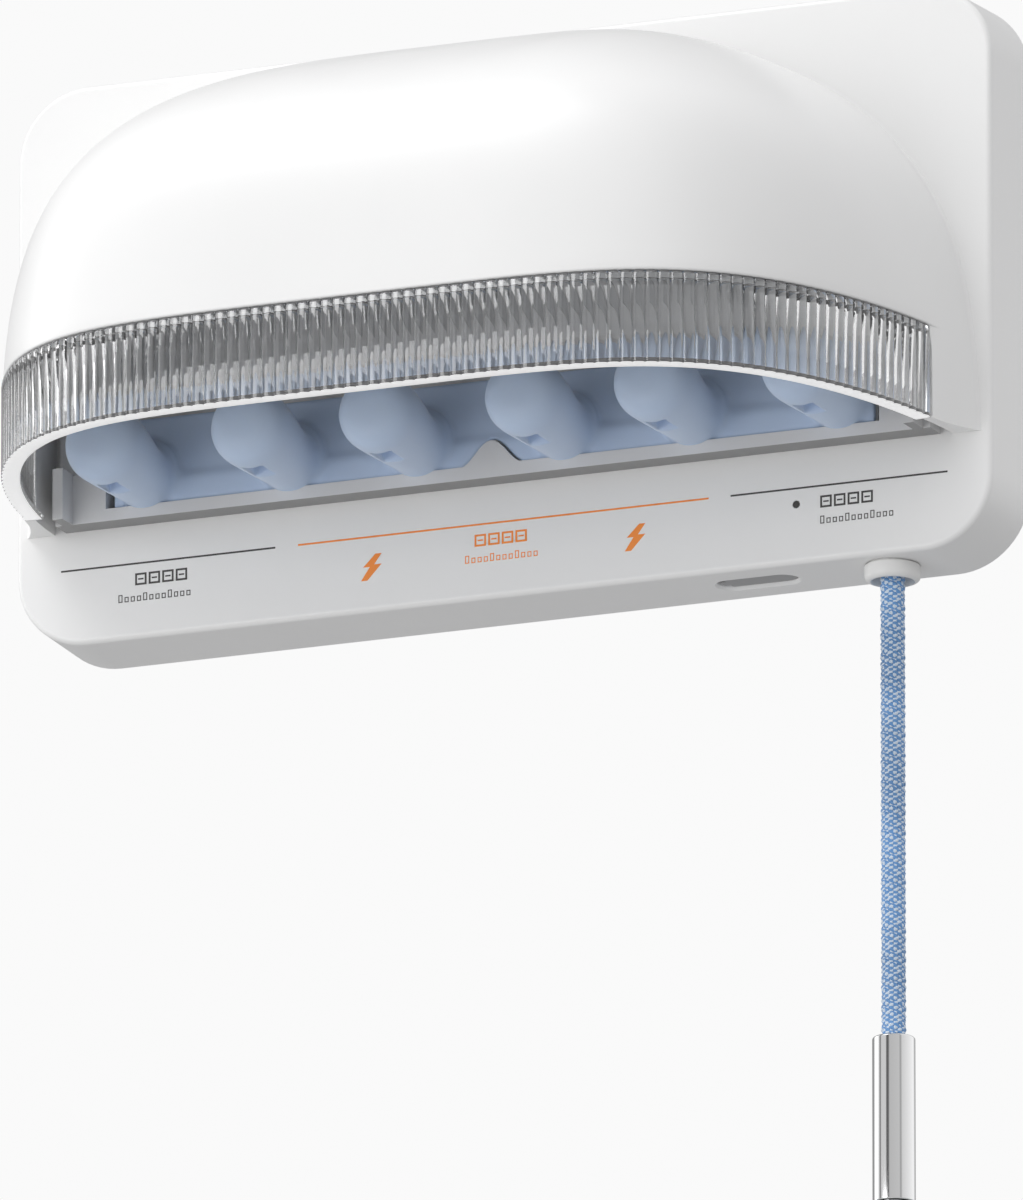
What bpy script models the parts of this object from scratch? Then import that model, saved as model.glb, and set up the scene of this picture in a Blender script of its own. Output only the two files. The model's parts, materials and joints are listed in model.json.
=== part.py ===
"""Wall-mounted toothbrush sanitizer with a domed hood, a clear visor and a pull cord.

Sizes and places below are in millimetres; the helpers turn them into metres.
+Z is up, +X is right as seen from the front, and the front faces -Y. The origin
is the middle of the wall bracket's wall-side face, so the wall is the plane Y = 0.
"""

import math

import bmesh
import bpy
import numpy as np
from mathutils import Vector

MM = 0.001
GAP = 0.3  # between pieces that touch

# Back plate of the housing: a shallow rounded box with a slight draft
PLATE_WIDTH = 290.0
PLATE_HEIGHT = 158.8
PLATE_CORNER = 20.4
PLATE_FRONT = -26.5
PLATE_BACK = -1.0
PLATE_EDGE = 1.6  # rounding of the front edge
PLATE_DRAFT = 0.8  # each side grows by this much towards the wall
FRONT_WALL = 2.5
SIDE_WALL = 4.2
COVER_STEP = 2.4  # side wall beside the rear cover
PLATE_INSIDE = PLATE_FRONT + FRONT_WALL

# Domed hood on the plate
HOOD_HALF_WIDTH = 136.5
HOOD_DEPTH = 108.7
HOOD_BOTTOM = -47.7
HOOD_TOP = 78.8
HOOD_WALL = 3.0
HOOD_WIDTH_POWER = 4.7  # squareness of the hood's plan across its width
HOOD_DEPTH_POWER = 1.6  # and along its depth
FOOT_FLARE = 5.0  # how far the hood's foot spreads on the plate
FOOT_LENGTH = 16.0
HOOD_LAST_RING = 0.995  # share of the height where the crown closes
HOOD_POINTS = 19  # points on each half of the hood's plan

# Clear visor under the hood's front edge
VISOR_HEIGHT = 26.0
VISOR_TOP = HOOD_BOTTOM + VISOR_HEIGHT
VISOR_END = PLATE_FRONT - 17.5
VISOR_THICKNESS = 5.5
LIP_HEIGHT = 6.0

# Tray and silicone brush holder
TRAY_FRONT = PLATE_FRONT - 7.7
TRAY_PANEL_FRONT = PLATE_FRONT - 4.5
TRAY_HALF_WIDTH = 130.0
WINDOW_HALF_WIDTH = 115.0
WINDOW_BOTTOM = -44.0
TRAY_END_TOP = -33.6
PANEL_TOP = -17.0
SHEET_HALF_WIDTH = 113.0
SHEET_TOP = -19.0
SHEET_FRONT = TRAY_FRONT + 1.0
LOBE_TIP = PLATE_FRONT - 41.5
LOBE_PLACES = (-103.3, -59.8, -21.7, 21.7, 59.8, 103.3)
LOBE_FLOOR = -45.0
POCKET_WIDTH = 6.0
POCKET_LENGTH = 9.5
LOBE_STEPS = 20
# Each ring of a lobe: how far out from the sheet, its radius and its centre's height.
# A round foot, then a thin neck that swells to a blunt round head
LOBE_PROFILE = (
    (-0.8, 9.4, -35.3),
    (0.4, 9.4, -35.3),
    (1.6, 8.4, -36.2),
    (3.6, 7.5, -37.3),
    (7.0, 7.3, -37.6),
    (13.0, 8.4, -36.6),
    (19.0, 9.7, -35.3),
    (23.5, 11.2, -33.8),
    (27.0, 11.8, -33.2),
    (30.0, 11.6, -33.2),
    (32.8, 10.1, -33.2),
    (34.3, 7.6, -33.2),
    (34.8, 4.5, -33.2),
)

# Pull cord and its mechanism, all on one upright line
CORD_X = 111.0
CORD_Y = -15.5
CORD_RADIUS = 3.55
SWING_HEIGHT = -82.0
GLAND_BOTTOM = -84.4
GLAND_TOP = -71.5
GLAND_FLANGE = 7.7
GLAND_NECK = 6.9
GLAND_HOLE = 5.9
HANDLE_TOP = -212.5
HANDLE_LENGTH = 47.2
HANDLE_RADIUS = 5.9
PLUNGER_FLANGE = -56.3
PLUNGER_TOP = -41.0
SPRING_WIRE = 0.5
SPRING_RADIUS = 5.75
SPRING_TURNS = 5
SPRING_STEPS = 9  # points in each turn

LEVER_X = 104.3  # the switch lever's hinge
LEVER_Z = -40.2

# Circuit board, charging socket and its cover
BOARD_BACK = -16.0
BOARD_THICKNESS = 1.6
PORT_X = 70.4
PORT_Y = -13.8
PORT_LENGTH = 23.2
PORT_WIDTH = 8.4
PORT_DEPTH = 2.3
HINGE_TAB = 1.6  # half the width of the port cover's hinge
LAMP_X = 87.2
LAMP_Z = -62.7

# Wall bracket and how the housing hangs on it
BRACKET_HALF_WIDTH = 70.0
BRACKET_HALF_HEIGHT = 32.0
BRACKET_THICKNESS = 2.8
POCKET_FLOOR = -8.8
POCKET_WALL = 2.2
HOOK_X = 45.0
HOOK_HALF_WIDTH = 10.0
HOOK_TOP = 20.0
THROAT_BOTTOM = 10.0
THROAT_TOP = 13.0

BOARD_SCREWS = ((28, -69), (60, -45))
UV_SCREW_X = 58.0
TRAY_SCREW_X = 74.0
TRAY_SCREW_Z = -30.0
COVER_SCREWS = ((-131, 64), (0, 70), (131, 64), (-131, -64), (0, -70), (131, -64))
COVER_INSIDE = -3.8
COVER_OUTSIDE = -1.3
BOSS_RADIUS = 3.6


def make_collection(name):
    collection = bpy.data.collections.new(name)
    bpy.context.scene.collection.children.link(collection)
    return collection


for old in list(bpy.data.objects):
    bpy.data.objects.remove(old, do_unlink=True)
PARTS = make_collection("toothbrush_sanitizer")


def make_material(name, colour, roughness, metallic=0.0, alpha=1.0):
    material = bpy.data.materials.new(name)
    material.use_nodes = True
    shader = material.node_tree.nodes["Principled BSDF"]
    shader.inputs["Base Color"].default_value = (*colour, 1)
    shader.inputs["Roughness"].default_value = roughness
    shader.inputs["Metallic"].default_value = metallic
    shader.inputs["Alpha"].default_value = alpha
    return material


WHITE = make_material("white_abs", (0.86, 0.86, 0.86), 0.3)
COVER_GREY = make_material("cover_abs", (0.62, 0.63, 0.65), 0.5)
CLEAR = make_material("clear_acrylic", (0.93, 0.95, 0.96), 0.05, alpha=0.35)
TRAY_GREY = make_material("tray_abs", (0.45, 0.45, 0.45), 0.5)
LINER_GREY = make_material("liner_abs", (0.12, 0.12, 0.13), 0.5)
BLUE = make_material("blue_silicone", (0.30, 0.42, 0.60), 0.55)
STEEL = make_material("polished_steel", (0.75, 0.75, 0.76), 0.15, 1.0)
ZINC = make_material("zinc_screw", (0.62, 0.62, 0.60), 0.35, 1.0)
SPRING_STEEL = make_material("spring_steel", (0.5, 0.5, 0.5), 0.3, 1.0)
BRAID = make_material("cord_braid", (0.35, 0.48, 0.68), 0.8)
BOARD_GREEN = make_material("circuit_board", (0.03, 0.20, 0.09), 0.5)
BLACK = make_material("black_plastic", (0.03, 0.03, 0.03), 0.5)
FOIL = make_material("battery_foil", (0.55, 0.56, 0.58), 0.35)
LAMP = make_material("lamp_package", (0.85, 0.80, 0.55), 0.4)
QUARTZ = make_material("quartz_window", (0.80, 0.86, 0.92), 0.05, alpha=0.5)
FOAM = make_material("foam_tape", (0.20, 0.20, 0.21), 0.9)
RUBBER = make_material("grey_rubber", (0.30, 0.30, 0.31), 0.7)
RED_WIRE = make_material("red_wire", (0.45, 0.03, 0.03), 0.5)
PALE_WIRE = make_material("pale_wire", (0.70, 0.70, 0.68), 0.5)


def add_object(name, mesh, material):
    """Names the mesh's object, gives it its material and puts it with the parts."""
    mesh.materials.clear()
    mesh.materials.append(material)
    part = bpy.data.objects.new(name, mesh)
    PARTS.objects.link(part)
    return part


def from_bmesh(name, shape, material):
    bmesh.ops.recalc_face_normals(shape, faces=shape.faces)
    mesh = bpy.data.meshes.new(name)
    shape.to_mesh(mesh)
    shape.free()
    return add_object(name, mesh, material)


def as_mesh(source):
    """Replaces an object by the closed mesh that its curve or modifiers give."""
    bpy.context.view_layer.update()
    evaluated = source.evaluated_get(bpy.context.evaluated_depsgraph_get())
    mesh = bpy.data.meshes.new_from_object(evaluated)
    place = source.matrix_world.copy()
    name = source.name
    material = source.data.materials[0]
    bpy.data.objects.remove(source, do_unlink=True)
    shape = bmesh.new()
    shape.from_mesh(mesh)
    bmesh.ops.remove_doubles(shape, verts=shape.verts, dist=0.01 * MM)
    part = from_bmesh(name, shape, material)
    part.matrix_world = place
    return part


def box(name, low, high, material, bevel=0.0):
    """A block between two corners, with its edges rounded if bevel is given."""
    low = Vector(low) * MM
    high = Vector(high) * MM
    shape = bmesh.new()
    bmesh.ops.create_cube(shape, size=1.0)
    bmesh.ops.scale(shape, vec=high - low, verts=shape.verts)
    part = from_bmesh(name, shape, material)
    part.location = (low + high) / 2
    if bevel:
        rounding = part.modifiers.new("round_edges", "BEVEL")
        rounding.width = bevel * MM
        rounding.segments = 2
    return part


def prism(name, outlines, start, end, material, along="Y"):
    """Outlines extruded from start to end: points (x, z) along Y, or (x, y) along Z."""
    curve = bpy.data.curves.new(name, "CURVE")
    curve.dimensions = "2D"
    curve.fill_mode = "BOTH"
    curve.extrude = (end - start) / 2 * MM
    for outline in outlines:
        spline = curve.splines.new("POLY")
        spline.points.add(len(outline) - 1)
        for point, (u, v) in zip(spline.points, outline):
            point.co = (u * MM, v * MM, 0, 1)
        spline.use_cyclic_u = True
    curve.materials.append(material)
    part = bpy.data.objects.new(name, curve)
    PARTS.objects.link(part)
    middle = (start + end) / 2 * MM
    if along == "Y":
        part.rotation_euler = (math.pi / 2, 0, 0)
        part.location = (0, middle, 0)
    else:
        part.location = (0, 0, middle)
    return as_mesh(part)


def turned(name, profile, centre, material, axis="Z", steps=20):
    """A profile of (radius, height) points, top to bottom, turned about Z or a line along Y.

    Heights run towards -Y when axis is "Y" and towards +Y when it is "-Y".
    """
    shape = bmesh.new()
    verts = [shape.verts.new((r * MM, 0, h * MM)) for r, h in profile]
    for first, second in zip(verts, verts[1:]):
        shape.edges.new((first, second))
    if profile[0][0] > 0 and profile[-1][0] > 0:
        shape.edges.new((verts[-1], verts[0]))
    part = from_bmesh(name, shape, material)
    screw = part.modifiers.new("turn", "SCREW")
    screw.steps = steps
    screw.render_steps = steps
    screw.use_merge_vertices = True
    screw.merge_threshold = 0.01 * MM
    if axis == "Y":
        part.rotation_euler = (math.pi / 2, 0, 0)
    elif axis == "-Y":
        part.rotation_euler = (-math.pi / 2, 0, 0)
    part.location = Vector(centre) * MM
    return as_mesh(part)


def tube(name, points, radius, material, resolution=2):
    """A round wire or cord along the points, with closed ends."""
    curve = bpy.data.curves.new(name, "CURVE")
    curve.dimensions = "3D"
    curve.bevel_depth = radius * MM
    curve.bevel_resolution = resolution
    curve.use_fill_caps = True
    spline = curve.splines.new("POLY")
    spline.points.add(len(points) - 1)
    for point, place in zip(spline.points, points):
        point.co = (*(Vector(place) * MM), 1)
    curve.materials.append(material)
    part = bpy.data.objects.new(name, curve)
    PARTS.objects.link(part)
    return as_mesh(part)


def loft(name, rings, material):
    """A closed solid through rings of equally many points, flat at both ends."""
    shape = bmesh.new()
    rows = [[shape.verts.new(Vector(p) * MM) for p in ring] for ring in rings]
    for lower, upper in zip(rows, rows[1:]):
        for i in range(len(lower)):
            j = (i + 1) % len(lower)
            shape.faces.new((lower[i], lower[j], upper[j], upper[i]))
    shape.faces.new(rows[0])
    shape.faces.new(rows[-1])
    return from_bmesh(name, shape, material)


def combine(part, operation, tools):
    """Joins or cuts the part with the tools, which are used up, and gives the new part."""
    for tool in tools:
        step = part.modifiers.new(tool.name, "BOOLEAN")
        step.operation = operation
        step.object = tool
    part = as_mesh(part)
    for tool in tools:
        bpy.data.objects.remove(tool, do_unlink=True)
    return part


def smooth_by_angle(part, degrees=40.0):
    part.data.shade_smooth()
    part.data.set_sharp_from_angle(angle=math.radians(degrees))


def smooth_line(points, count):
    """Evenly spaced points on a smooth curve through the given points."""
    given = np.array(points, float)
    padded = np.vstack([2 * given[0] - given[1], given, 2 * given[-1] - given[-2]])
    dense = []
    for i in range(1, len(given)):
        p0, p1, p2, p3 = padded[i - 1 : i + 3]
        for t in np.linspace(0, 1, 20, endpoint=False):
            bend = 2 * p0 - 5 * p1 + 4 * p2 - p3
            twist = 3 * p1 - 3 * p2 + p3 - p0
            dense.append(0.5 * (2 * p1 + (p2 - p0) * t + bend * t**2 + twist * t**3))
    dense.append(given[-1])
    return evenly_spaced(np.array(dense), count)


def evenly_spaced(line, count):
    along = np.concatenate([[0], np.cumsum(np.linalg.norm(np.diff(line, axis=0), axis=1))])
    at = np.linspace(0, along[-1], count)
    return np.stack([np.interp(at, along, line[:, k]) for k in range(line.shape[1])], axis=1)


def rounded_rectangle(half_width, half_height, radius, steps=5):
    """Corner arcs of a rounded rectangle, as (x, z) points counter-clockwise."""
    points = []
    for sx, sz, turn in ((1, 1, 0), (-1, 1, 90), (-1, -1, 180), (1, -1, 270)):
        for k in range(steps + 1):
            angle = math.radians(turn + 90 * k / steps)
            x = sx * (half_width - radius) + radius * math.cos(angle)
            z = sz * (half_height - radius) + radius * math.sin(angle)
            points.append((x, z))
    return points


def plate_outline(grow, steps=5):
    """The plate's front outline, grown or (below 0) shrunk all round."""
    half_width = PLATE_WIDTH / 2 + grow
    half_height = PLATE_HEIGHT / 2 + grow
    return rounded_rectangle(half_width, half_height, PLATE_CORNER + grow, steps)


def hood_size(height):
    """The hood's half width and depth at a height: full walls, then a round crown."""
    rise = (height - HOOD_BOTTOM) / (HOOD_TOP - HOOD_BOTTOM)
    rise = min(max(rise, 0.0), 1.0)
    half_width = HOOD_HALF_WIDTH * math.sqrt(1 - rise**3.1)
    depth = HOOD_DEPTH * (1 - rise**6) ** 1.25
    return half_width, depth


def hood_outline(height, inset, count, flare=0.0):
    """The hood's plan from its right foot round the front to its left foot, as (x, y)."""
    half_width, depth = hood_size(height)
    half_width = max(half_width - inset, 0.5)
    depth = max(depth - inset, 0.3)
    angles = np.linspace(0, math.pi / 2, 400)
    x = half_width * np.cos(angles) ** (2 / HOOD_WIDTH_POWER)
    y = -depth * np.sin(angles) ** (2 / HOOD_DEPTH_POWER)
    spread = np.clip(1 + y / FOOT_LENGTH, 0, 1) ** 2
    x = x + flare * spread
    half = evenly_spaced(np.stack([x, y + PLATE_FRONT], axis=1), count)
    mirrored = half[-2::-1] * (-1, 1)
    return [tuple(p) for p in np.vstack([half, mirrored])]


def hood_solid(name, inset, bottom, top_share, back, rings, count, flare, material):
    """The hood's volume from bottom up to its crown, closed at the back plane."""
    top = HOOD_BOTTOM + (HOOD_TOP - inset - HOOD_BOTTOM) * top_share
    rows = []
    for k in range(rings):
        share = 1 - (1 - k / (rings - 1)) ** 1.8
        height = bottom + (top - bottom) * share
        measured_at = HOOD_BOTTOM + (height - HOOD_BOTTOM) * (
            (HOOD_TOP - HOOD_BOTTOM) / (HOOD_TOP - inset - HOOD_BOTTOM)
        )
        line = hood_outline(measured_at, inset, count, flare)
        first, last = (line[0][0], back), (line[-1][0], back)
        line = [first, *line[1:-1], last]
        rows.append([(x, y, height) for x, y in line])
    return loft(name, rows, material)


def pill(length, width, centre, steps=6):
    """A slot outline with round ends along X."""
    cx, cy = centre
    outline = rounded_rectangle(length / 2, width / 2, width / 2 - 0.01, steps)
    return [(cx + x, cy + y) for x, y in outline]


def screw(name, seat, head_radius, head_height, shaft_radius, length, into_front=True):
    """A pan-head screw whose head rests at the seat and whose shaft runs along Y."""
    profile = (
        (0, length),
        (shaft_radius, length),
        (shaft_radius, 0),
        (head_radius, 0),
        (head_radius * 0.85, -head_height),
        (0, -head_height),
    )
    if not into_front:
        profile = [(r, -h) for r, h in reversed(profile)]
    smooth_by_angle(turned(name, profile, seat, ZINC, "Y", 10))


def hole(name, radius, centre, depth, axis="Y", steps=12):
    """A round cutter that starts at centre and runs towards -Y or up."""
    profile = ((0, depth), (radius, depth), (radius, 0), (0, 0))
    return turned(name, profile, centre, WHITE, axis, steps)


def stepped_hole(name, near, far, centre):
    """A cutter towards -Y with two widths: near and far are each (radius, depth)."""
    profile = ((0, far[1]), far, (far[0], near[1]), near, (near[0], 0), (0, 0))
    return turned(name, profile, centre, WHITE, "Y", steps=12)


def boss(name, radius, hole_radius, place, end, depth):
    """A round post from the plate's front wall back to end, with a blind screw hole."""
    length = end - (PLATE_INSIDE - 0.5)
    profile = ((0, length), (radius, length), (radius, 0), (hole_radius, 0), (hole_radius, depth), (0, depth))
    return turned(name, profile, (place[0], end, place[1]), WHITE, "Y", steps=12)


def make_wall_bracket():
    """Plate on the wall with two upward hooks, and its adhesive pads."""
    outline = rounded_rectangle(BRACKET_HALF_WIDTH, BRACKET_HALF_HEIGHT, 6, 4)
    bracket = prism("wall_bracket", [outline], -BRACKET_THICKNESS, 0, COVER_GREY)
    tongue_back = POCKET_FLOOR - 0.4
    hooks = []
    pockets = []
    for side, x in (("left", -HOOK_X), ("right", HOOK_X)):
        low = (x - HOOK_HALF_WIDTH, tongue_back - 0.1, THROAT_BOTTOM)
        high = (x + HOOK_HALF_WIDTH, -BRACKET_THICKNESS + 0.5, THROAT_TOP)
        hooks.append(box(f"throat_{side}", low, high, COVER_GREY))
        low = (x - HOOK_HALF_WIDTH, tongue_back - 2.2, THROAT_BOTTOM)
        high = (x + HOOK_HALF_WIDTH, tongue_back, HOOK_TOP)
        hooks.append(box(f"tongue_{side}", low, high, COVER_GREY))
        low = (x - 20, -0.8, -26)
        high = (x + 20, 0, 26)
        box(f"adhesive_pad_{side}", low, high, FOAM)
        low = (x - 20 - GAP, -0.8 - GAP, -26 - GAP)
        high = (x + 20 + GAP, 1, 26 + GAP)
        pockets.append(box(f"pad_pocket_{side}", low, high, COVER_GREY))
    bracket = combine(bracket, "UNION", hooks)
    combine(bracket, "DIFFERENCE", pockets)


def make_rear_cover():
    """Cover screwed into the plate's back, with a pocket that takes the wall bracket."""
    outline = plate_outline(PLATE_DRAFT - COVER_STEP - GAP)
    cover = prism("rear_cover", [outline], COVER_INSIDE, COVER_OUTSIDE, COVER_GREY)
    pocket = (76.5, -43.5, 33.5)  # half width, bottom and top inside
    low = (-pocket[0] - POCKET_WALL, POCKET_FLOOR, pocket[1] - POCKET_WALL)
    high = (pocket[0] + POCKET_WALL, COVER_INSIDE + 0.5, pocket[2] + POCKET_WALL)
    tub = box("pocket_tub", low, high, COVER_GREY)
    low = (-pocket[0], POCKET_FLOOR + POCKET_WALL, pocket[1])
    high = (pocket[0], 1, pocket[2])
    cutters = [box("pocket_space", low, high, COVER_GREY)]
    for side, x in (("left", -HOOK_X), ("right", HOOK_X)):
        low = (x - HOOK_HALF_WIDTH - 1.5, POCKET_FLOOR - 1, -0.5)
        high = (x + HOOK_HALF_WIDTH + 1.5, POCKET_FLOOR + POCKET_WALL + 1, THROAT_TOP + GAP)
        cutters.append(box(f"hook_window_{side}", low, high, COVER_GREY))
    for number, (x, z) in enumerate(COVER_SCREWS, 1):
        cutters.append(stepped_hole(f"cover_hole_{number}", (3.2, 2.8), (1.75, 6), (x, 0, z)))
        screw(f"cover_screw_{number}", (x, -2.8 + GAP, z), 2.8, 1.1, 1.3, 9.0)
    cover = combine(cover, "UNION", [tub])
    combine(cover, "DIFFERENCE", cutters)
    ring = [plate_outline(PLATE_DRAFT - COVER_STEP - GAP), plate_outline(PLATE_DRAFT - SIDE_WALL + 0.4)]
    prism("rear_gasket", ring, COVER_INSIDE - 1.0, COVER_INSIDE - GAP, RUBBER)


def make_front_housing():
    """Plate and domed hood moulded in one, open at the back and under the hood."""
    half_edge = PLATE_EDGE * 0.3
    sections = (
        (PLATE_FRONT, -PLATE_EDGE),
        (PLATE_FRONT + half_edge, -half_edge),
        (PLATE_FRONT + PLATE_EDGE, 0.0),
        (PLATE_BACK, PLATE_DRAFT),
    )
    rings = [[(x, y, z) for x, z in plate_outline(grow, 7)] for y, grow in sections]
    housing = loft("front_housing", rings, WHITE)
    inside_wall = PLATE_FRONT + FRONT_WALL - 0.3
    hood = hood_solid("hood_outside", 0, HOOD_BOTTOM, HOOD_LAST_RING, inside_wall, 13, HOOD_POINTS, FOOT_FLARE, WHITE)
    housing = combine(housing, "UNION", [hood])
    low = (-200, -200, HOOD_BOTTOM - 10)
    high = (200, VISOR_END, VISOR_TOP)
    cutters = [
        hood_solid("hood_inside", HOOD_WALL, HOOD_BOTTOM - 1, 0.99, PLATE_FRONT, 9, HOOD_POINTS, 0, WHITE),
        box("visor_space", low, high, WHITE),
        prism("plate_space", [plate_outline(-SIDE_WALL)], PLATE_INSIDE, 1, WHITE),
        prism("cover_space", [plate_outline(PLATE_DRAFT - COVER_STEP)], COVER_INSIDE - 1.3, 1, WHITE),
    ]
    housing = combine(housing, "DIFFERENCE", cutters)
    bosses = []
    holes = []
    for number, (x, z) in enumerate(COVER_SCREWS, 1):
        bosses.append(boss(f"cover_boss_{number}", BOSS_RADIUS, 1.65, (x, z), COVER_INSIDE - GAP, 12))
    for number, (x, z) in enumerate(BOARD_SCREWS, 1):
        end = BOARD_BACK - BOARD_THICKNESS - GAP
        bosses.append(boss(f"board_boss_{number}", 3.0, 1.4, (x, z), end, 5))
    for side, x in (("left", -TRAY_SCREW_X), ("right", TRAY_SCREW_X)):
        bosses.append(boss(f"tray_boss_{side}", 3.2, 1.45, (x, TRAY_SCREW_Z), PLATE_INSIDE + 8, 4))
        holes.append(hole(f"tray_thread_{side}", 1.45, (x, PLATE_INSIDE + 6, TRAY_SCREW_Z), 12))
    housing = combine(housing, "UNION", bosses)
    low = (-52 - GAP, PLATE_FRONT - 1, 2 - GAP)
    high = (52 + GAP, PLATE_INSIDE + 1, 12 + GAP)
    holes.append(box("window_opening", low, high, WHITE))
    for side, x in (("left", -UV_SCREW_X), ("right", UV_SCREW_X)):
        holes.append(hole(f"uv_thread_{side}", 1.1, (x, PLATE_INSIDE + 1, 7), 2.4))
    holes.append(hole("lamp_hole", 1.1, (LAMP_X, PLATE_INSIDE + 1, LAMP_Z), 5))
    gland = (CORD_X, CORD_Y, -PLATE_HEIGHT / 2 - 3)
    holes.append(hole("gland_hole", GLAND_NECK + GAP, gland, 12, "Z"))
    recess = pill(PORT_LENGTH, PORT_WIDTH, (PORT_X, PORT_Y))
    bottom = -PLATE_HEIGHT / 2
    holes.append(prism("port_recess", [recess], bottom - 3, bottom + PORT_DEPTH - 0.4, WHITE, "Z"))
    mouth = pill(9.6, 3.8, (PORT_X, BOARD_BACK + 1.9))
    holes.append(prism("port_mouth", [mouth], bottom - 3, bottom + 8, WHITE, "Z"))
    combine(housing, "DIFFERENCE", holes)


def visor_band(outer, inner, height):
    """A band's plan inside the hood's outline at a height, between two insets."""
    lines = [hood_outline(height, inset, HOOD_POINTS) for inset in (outer, inner)]
    front, back = ([p for p in line if p[1] < VISOR_END - GAP] for line in lines)
    foot = VISOR_END - GAP
    right = [(back[0][0], foot), (front[0][0], foot)]
    left = [(front[-1][0], foot), (back[-1][0], foot)]
    return right + front + left + back[::-1]


def make_visor():
    """Clear band round the hood's mouth, with a lip that rises behind the hood's wall."""
    band = visor_band(0, VISOR_THICKNESS, HOOD_BOTTOM)
    visor = prism("visor", [band], HOOD_BOTTOM, VISOR_TOP - GAP, CLEAR, "Z")
    lip_top = VISOR_TOP + LIP_HEIGHT
    band = visor_band(HOOD_WALL + GAP, VISOR_THICKNESS - 0.1, lip_top + 2)
    combine(visor, "UNION", [prism("visor_lip", [band], VISOR_TOP - 3, lip_top, CLEAR, "Z")])


def make_hood_liner():
    """Dark inner skin of the hood above the visor's lip, open below and at the back."""
    bottom = VISOR_TOP + LIP_HEIGHT + GAP
    back = PLATE_FRONT - GAP
    inset = HOOD_WALL + 1.6
    liner = hood_solid("hood_liner", inset, bottom, 0.985, back, 8, 13, 0, LINER_GREY)
    space = hood_solid("liner_space", inset + 1.4, bottom - 2, 0.98, back + 3, 8, 13, 0, LINER_GREY)
    combine(liner, "DIFFERENCE", [space])


def bell(half_width, height, foot, grow=0.0):
    """A low bell-shaped bump on a level line, as (x, z) points from right to left."""
    points = []
    for k in range(17):
        share = k / 16
        x = (half_width + grow) * (1 - 2 * share)
        z = foot + (height + grow) * math.sin(math.pi * share) ** 2
        points.append((x, z))
    return points


def make_tray():
    """Tray behind the hood's mouth that frames the brush holder."""
    tray_bottom = HOOD_BOTTOM + 0.2
    panel_back = PLATE_FRONT - GAP
    low = (-TRAY_HALF_WIDTH, TRAY_PANEL_FRONT, tray_bottom)
    high = (TRAY_HALF_WIDTH, panel_back, PANEL_TOP)
    tray = box("holder_tray", low, high, TRAY_GREY)
    half = TRAY_HALF_WIDTH
    sill = [(half, tray_bottom), (half, TRAY_END_TOP), (WINDOW_HALF_WIDTH, TRAY_END_TOP)]
    sill += [(WINDOW_HALF_WIDTH, WINDOW_BOTTOM)] + bell(9.5, 7.0, WINDOW_BOTTOM)[1:-1]
    sill += [(-x, z) for x, z in reversed(sill[:4])]
    frame = prism("tray_frame", [sill], TRAY_FRONT, TRAY_PANEL_FRONT + 1, TRAY_GREY)
    additions = [frame]
    cutters = []
    for side, sign in (("left", -1), ("right", 1)):
        inner = sign * (half - 5.1)
        outer = sign * (half - 2.1)
        low = (min(inner, outer), TRAY_FRONT - 6.8, tray_bottom)
        high = (max(inner, outer), TRAY_FRONT + 1, TRAY_END_TOP + 0.6)
        additions.append(box(f"tray_pillar_{side}", low, high, TRAY_GREY))
        inner = sign * (SHEET_HALF_WIDTH + GAP)
        outer = sign * WINDOW_HALF_WIDTH
        low = (min(inner, outer), TRAY_PANEL_FRONT - 1, WINDOW_BOTTOM)
        high = (max(inner, outer), panel_back - 0.8, PANEL_TOP - 6)
        cutters.append(box(f"tray_slit_{side}", low, high, TRAY_GREY))
        x = sign * TRAY_SCREW_X
        floor = TRAY_PANEL_FRONT + 2.2
        start = (x, PLATE_FRONT + 2, TRAY_SCREW_Z)
        near = (1.5, start[1] - floor)
        cutters.append(stepped_hole(f"tray_hole_{side}", near, (3.0, 12), start))
        seat = (x, floor - GAP, TRAY_SCREW_Z)
        screw(f"tray_screw_{side}", seat, 2.6, 1.5, 1.15, 9.0, into_front=False)
    tray = combine(tray, "UNION", additions)
    combine(tray, "DIFFERENCE", cutters)


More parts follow.
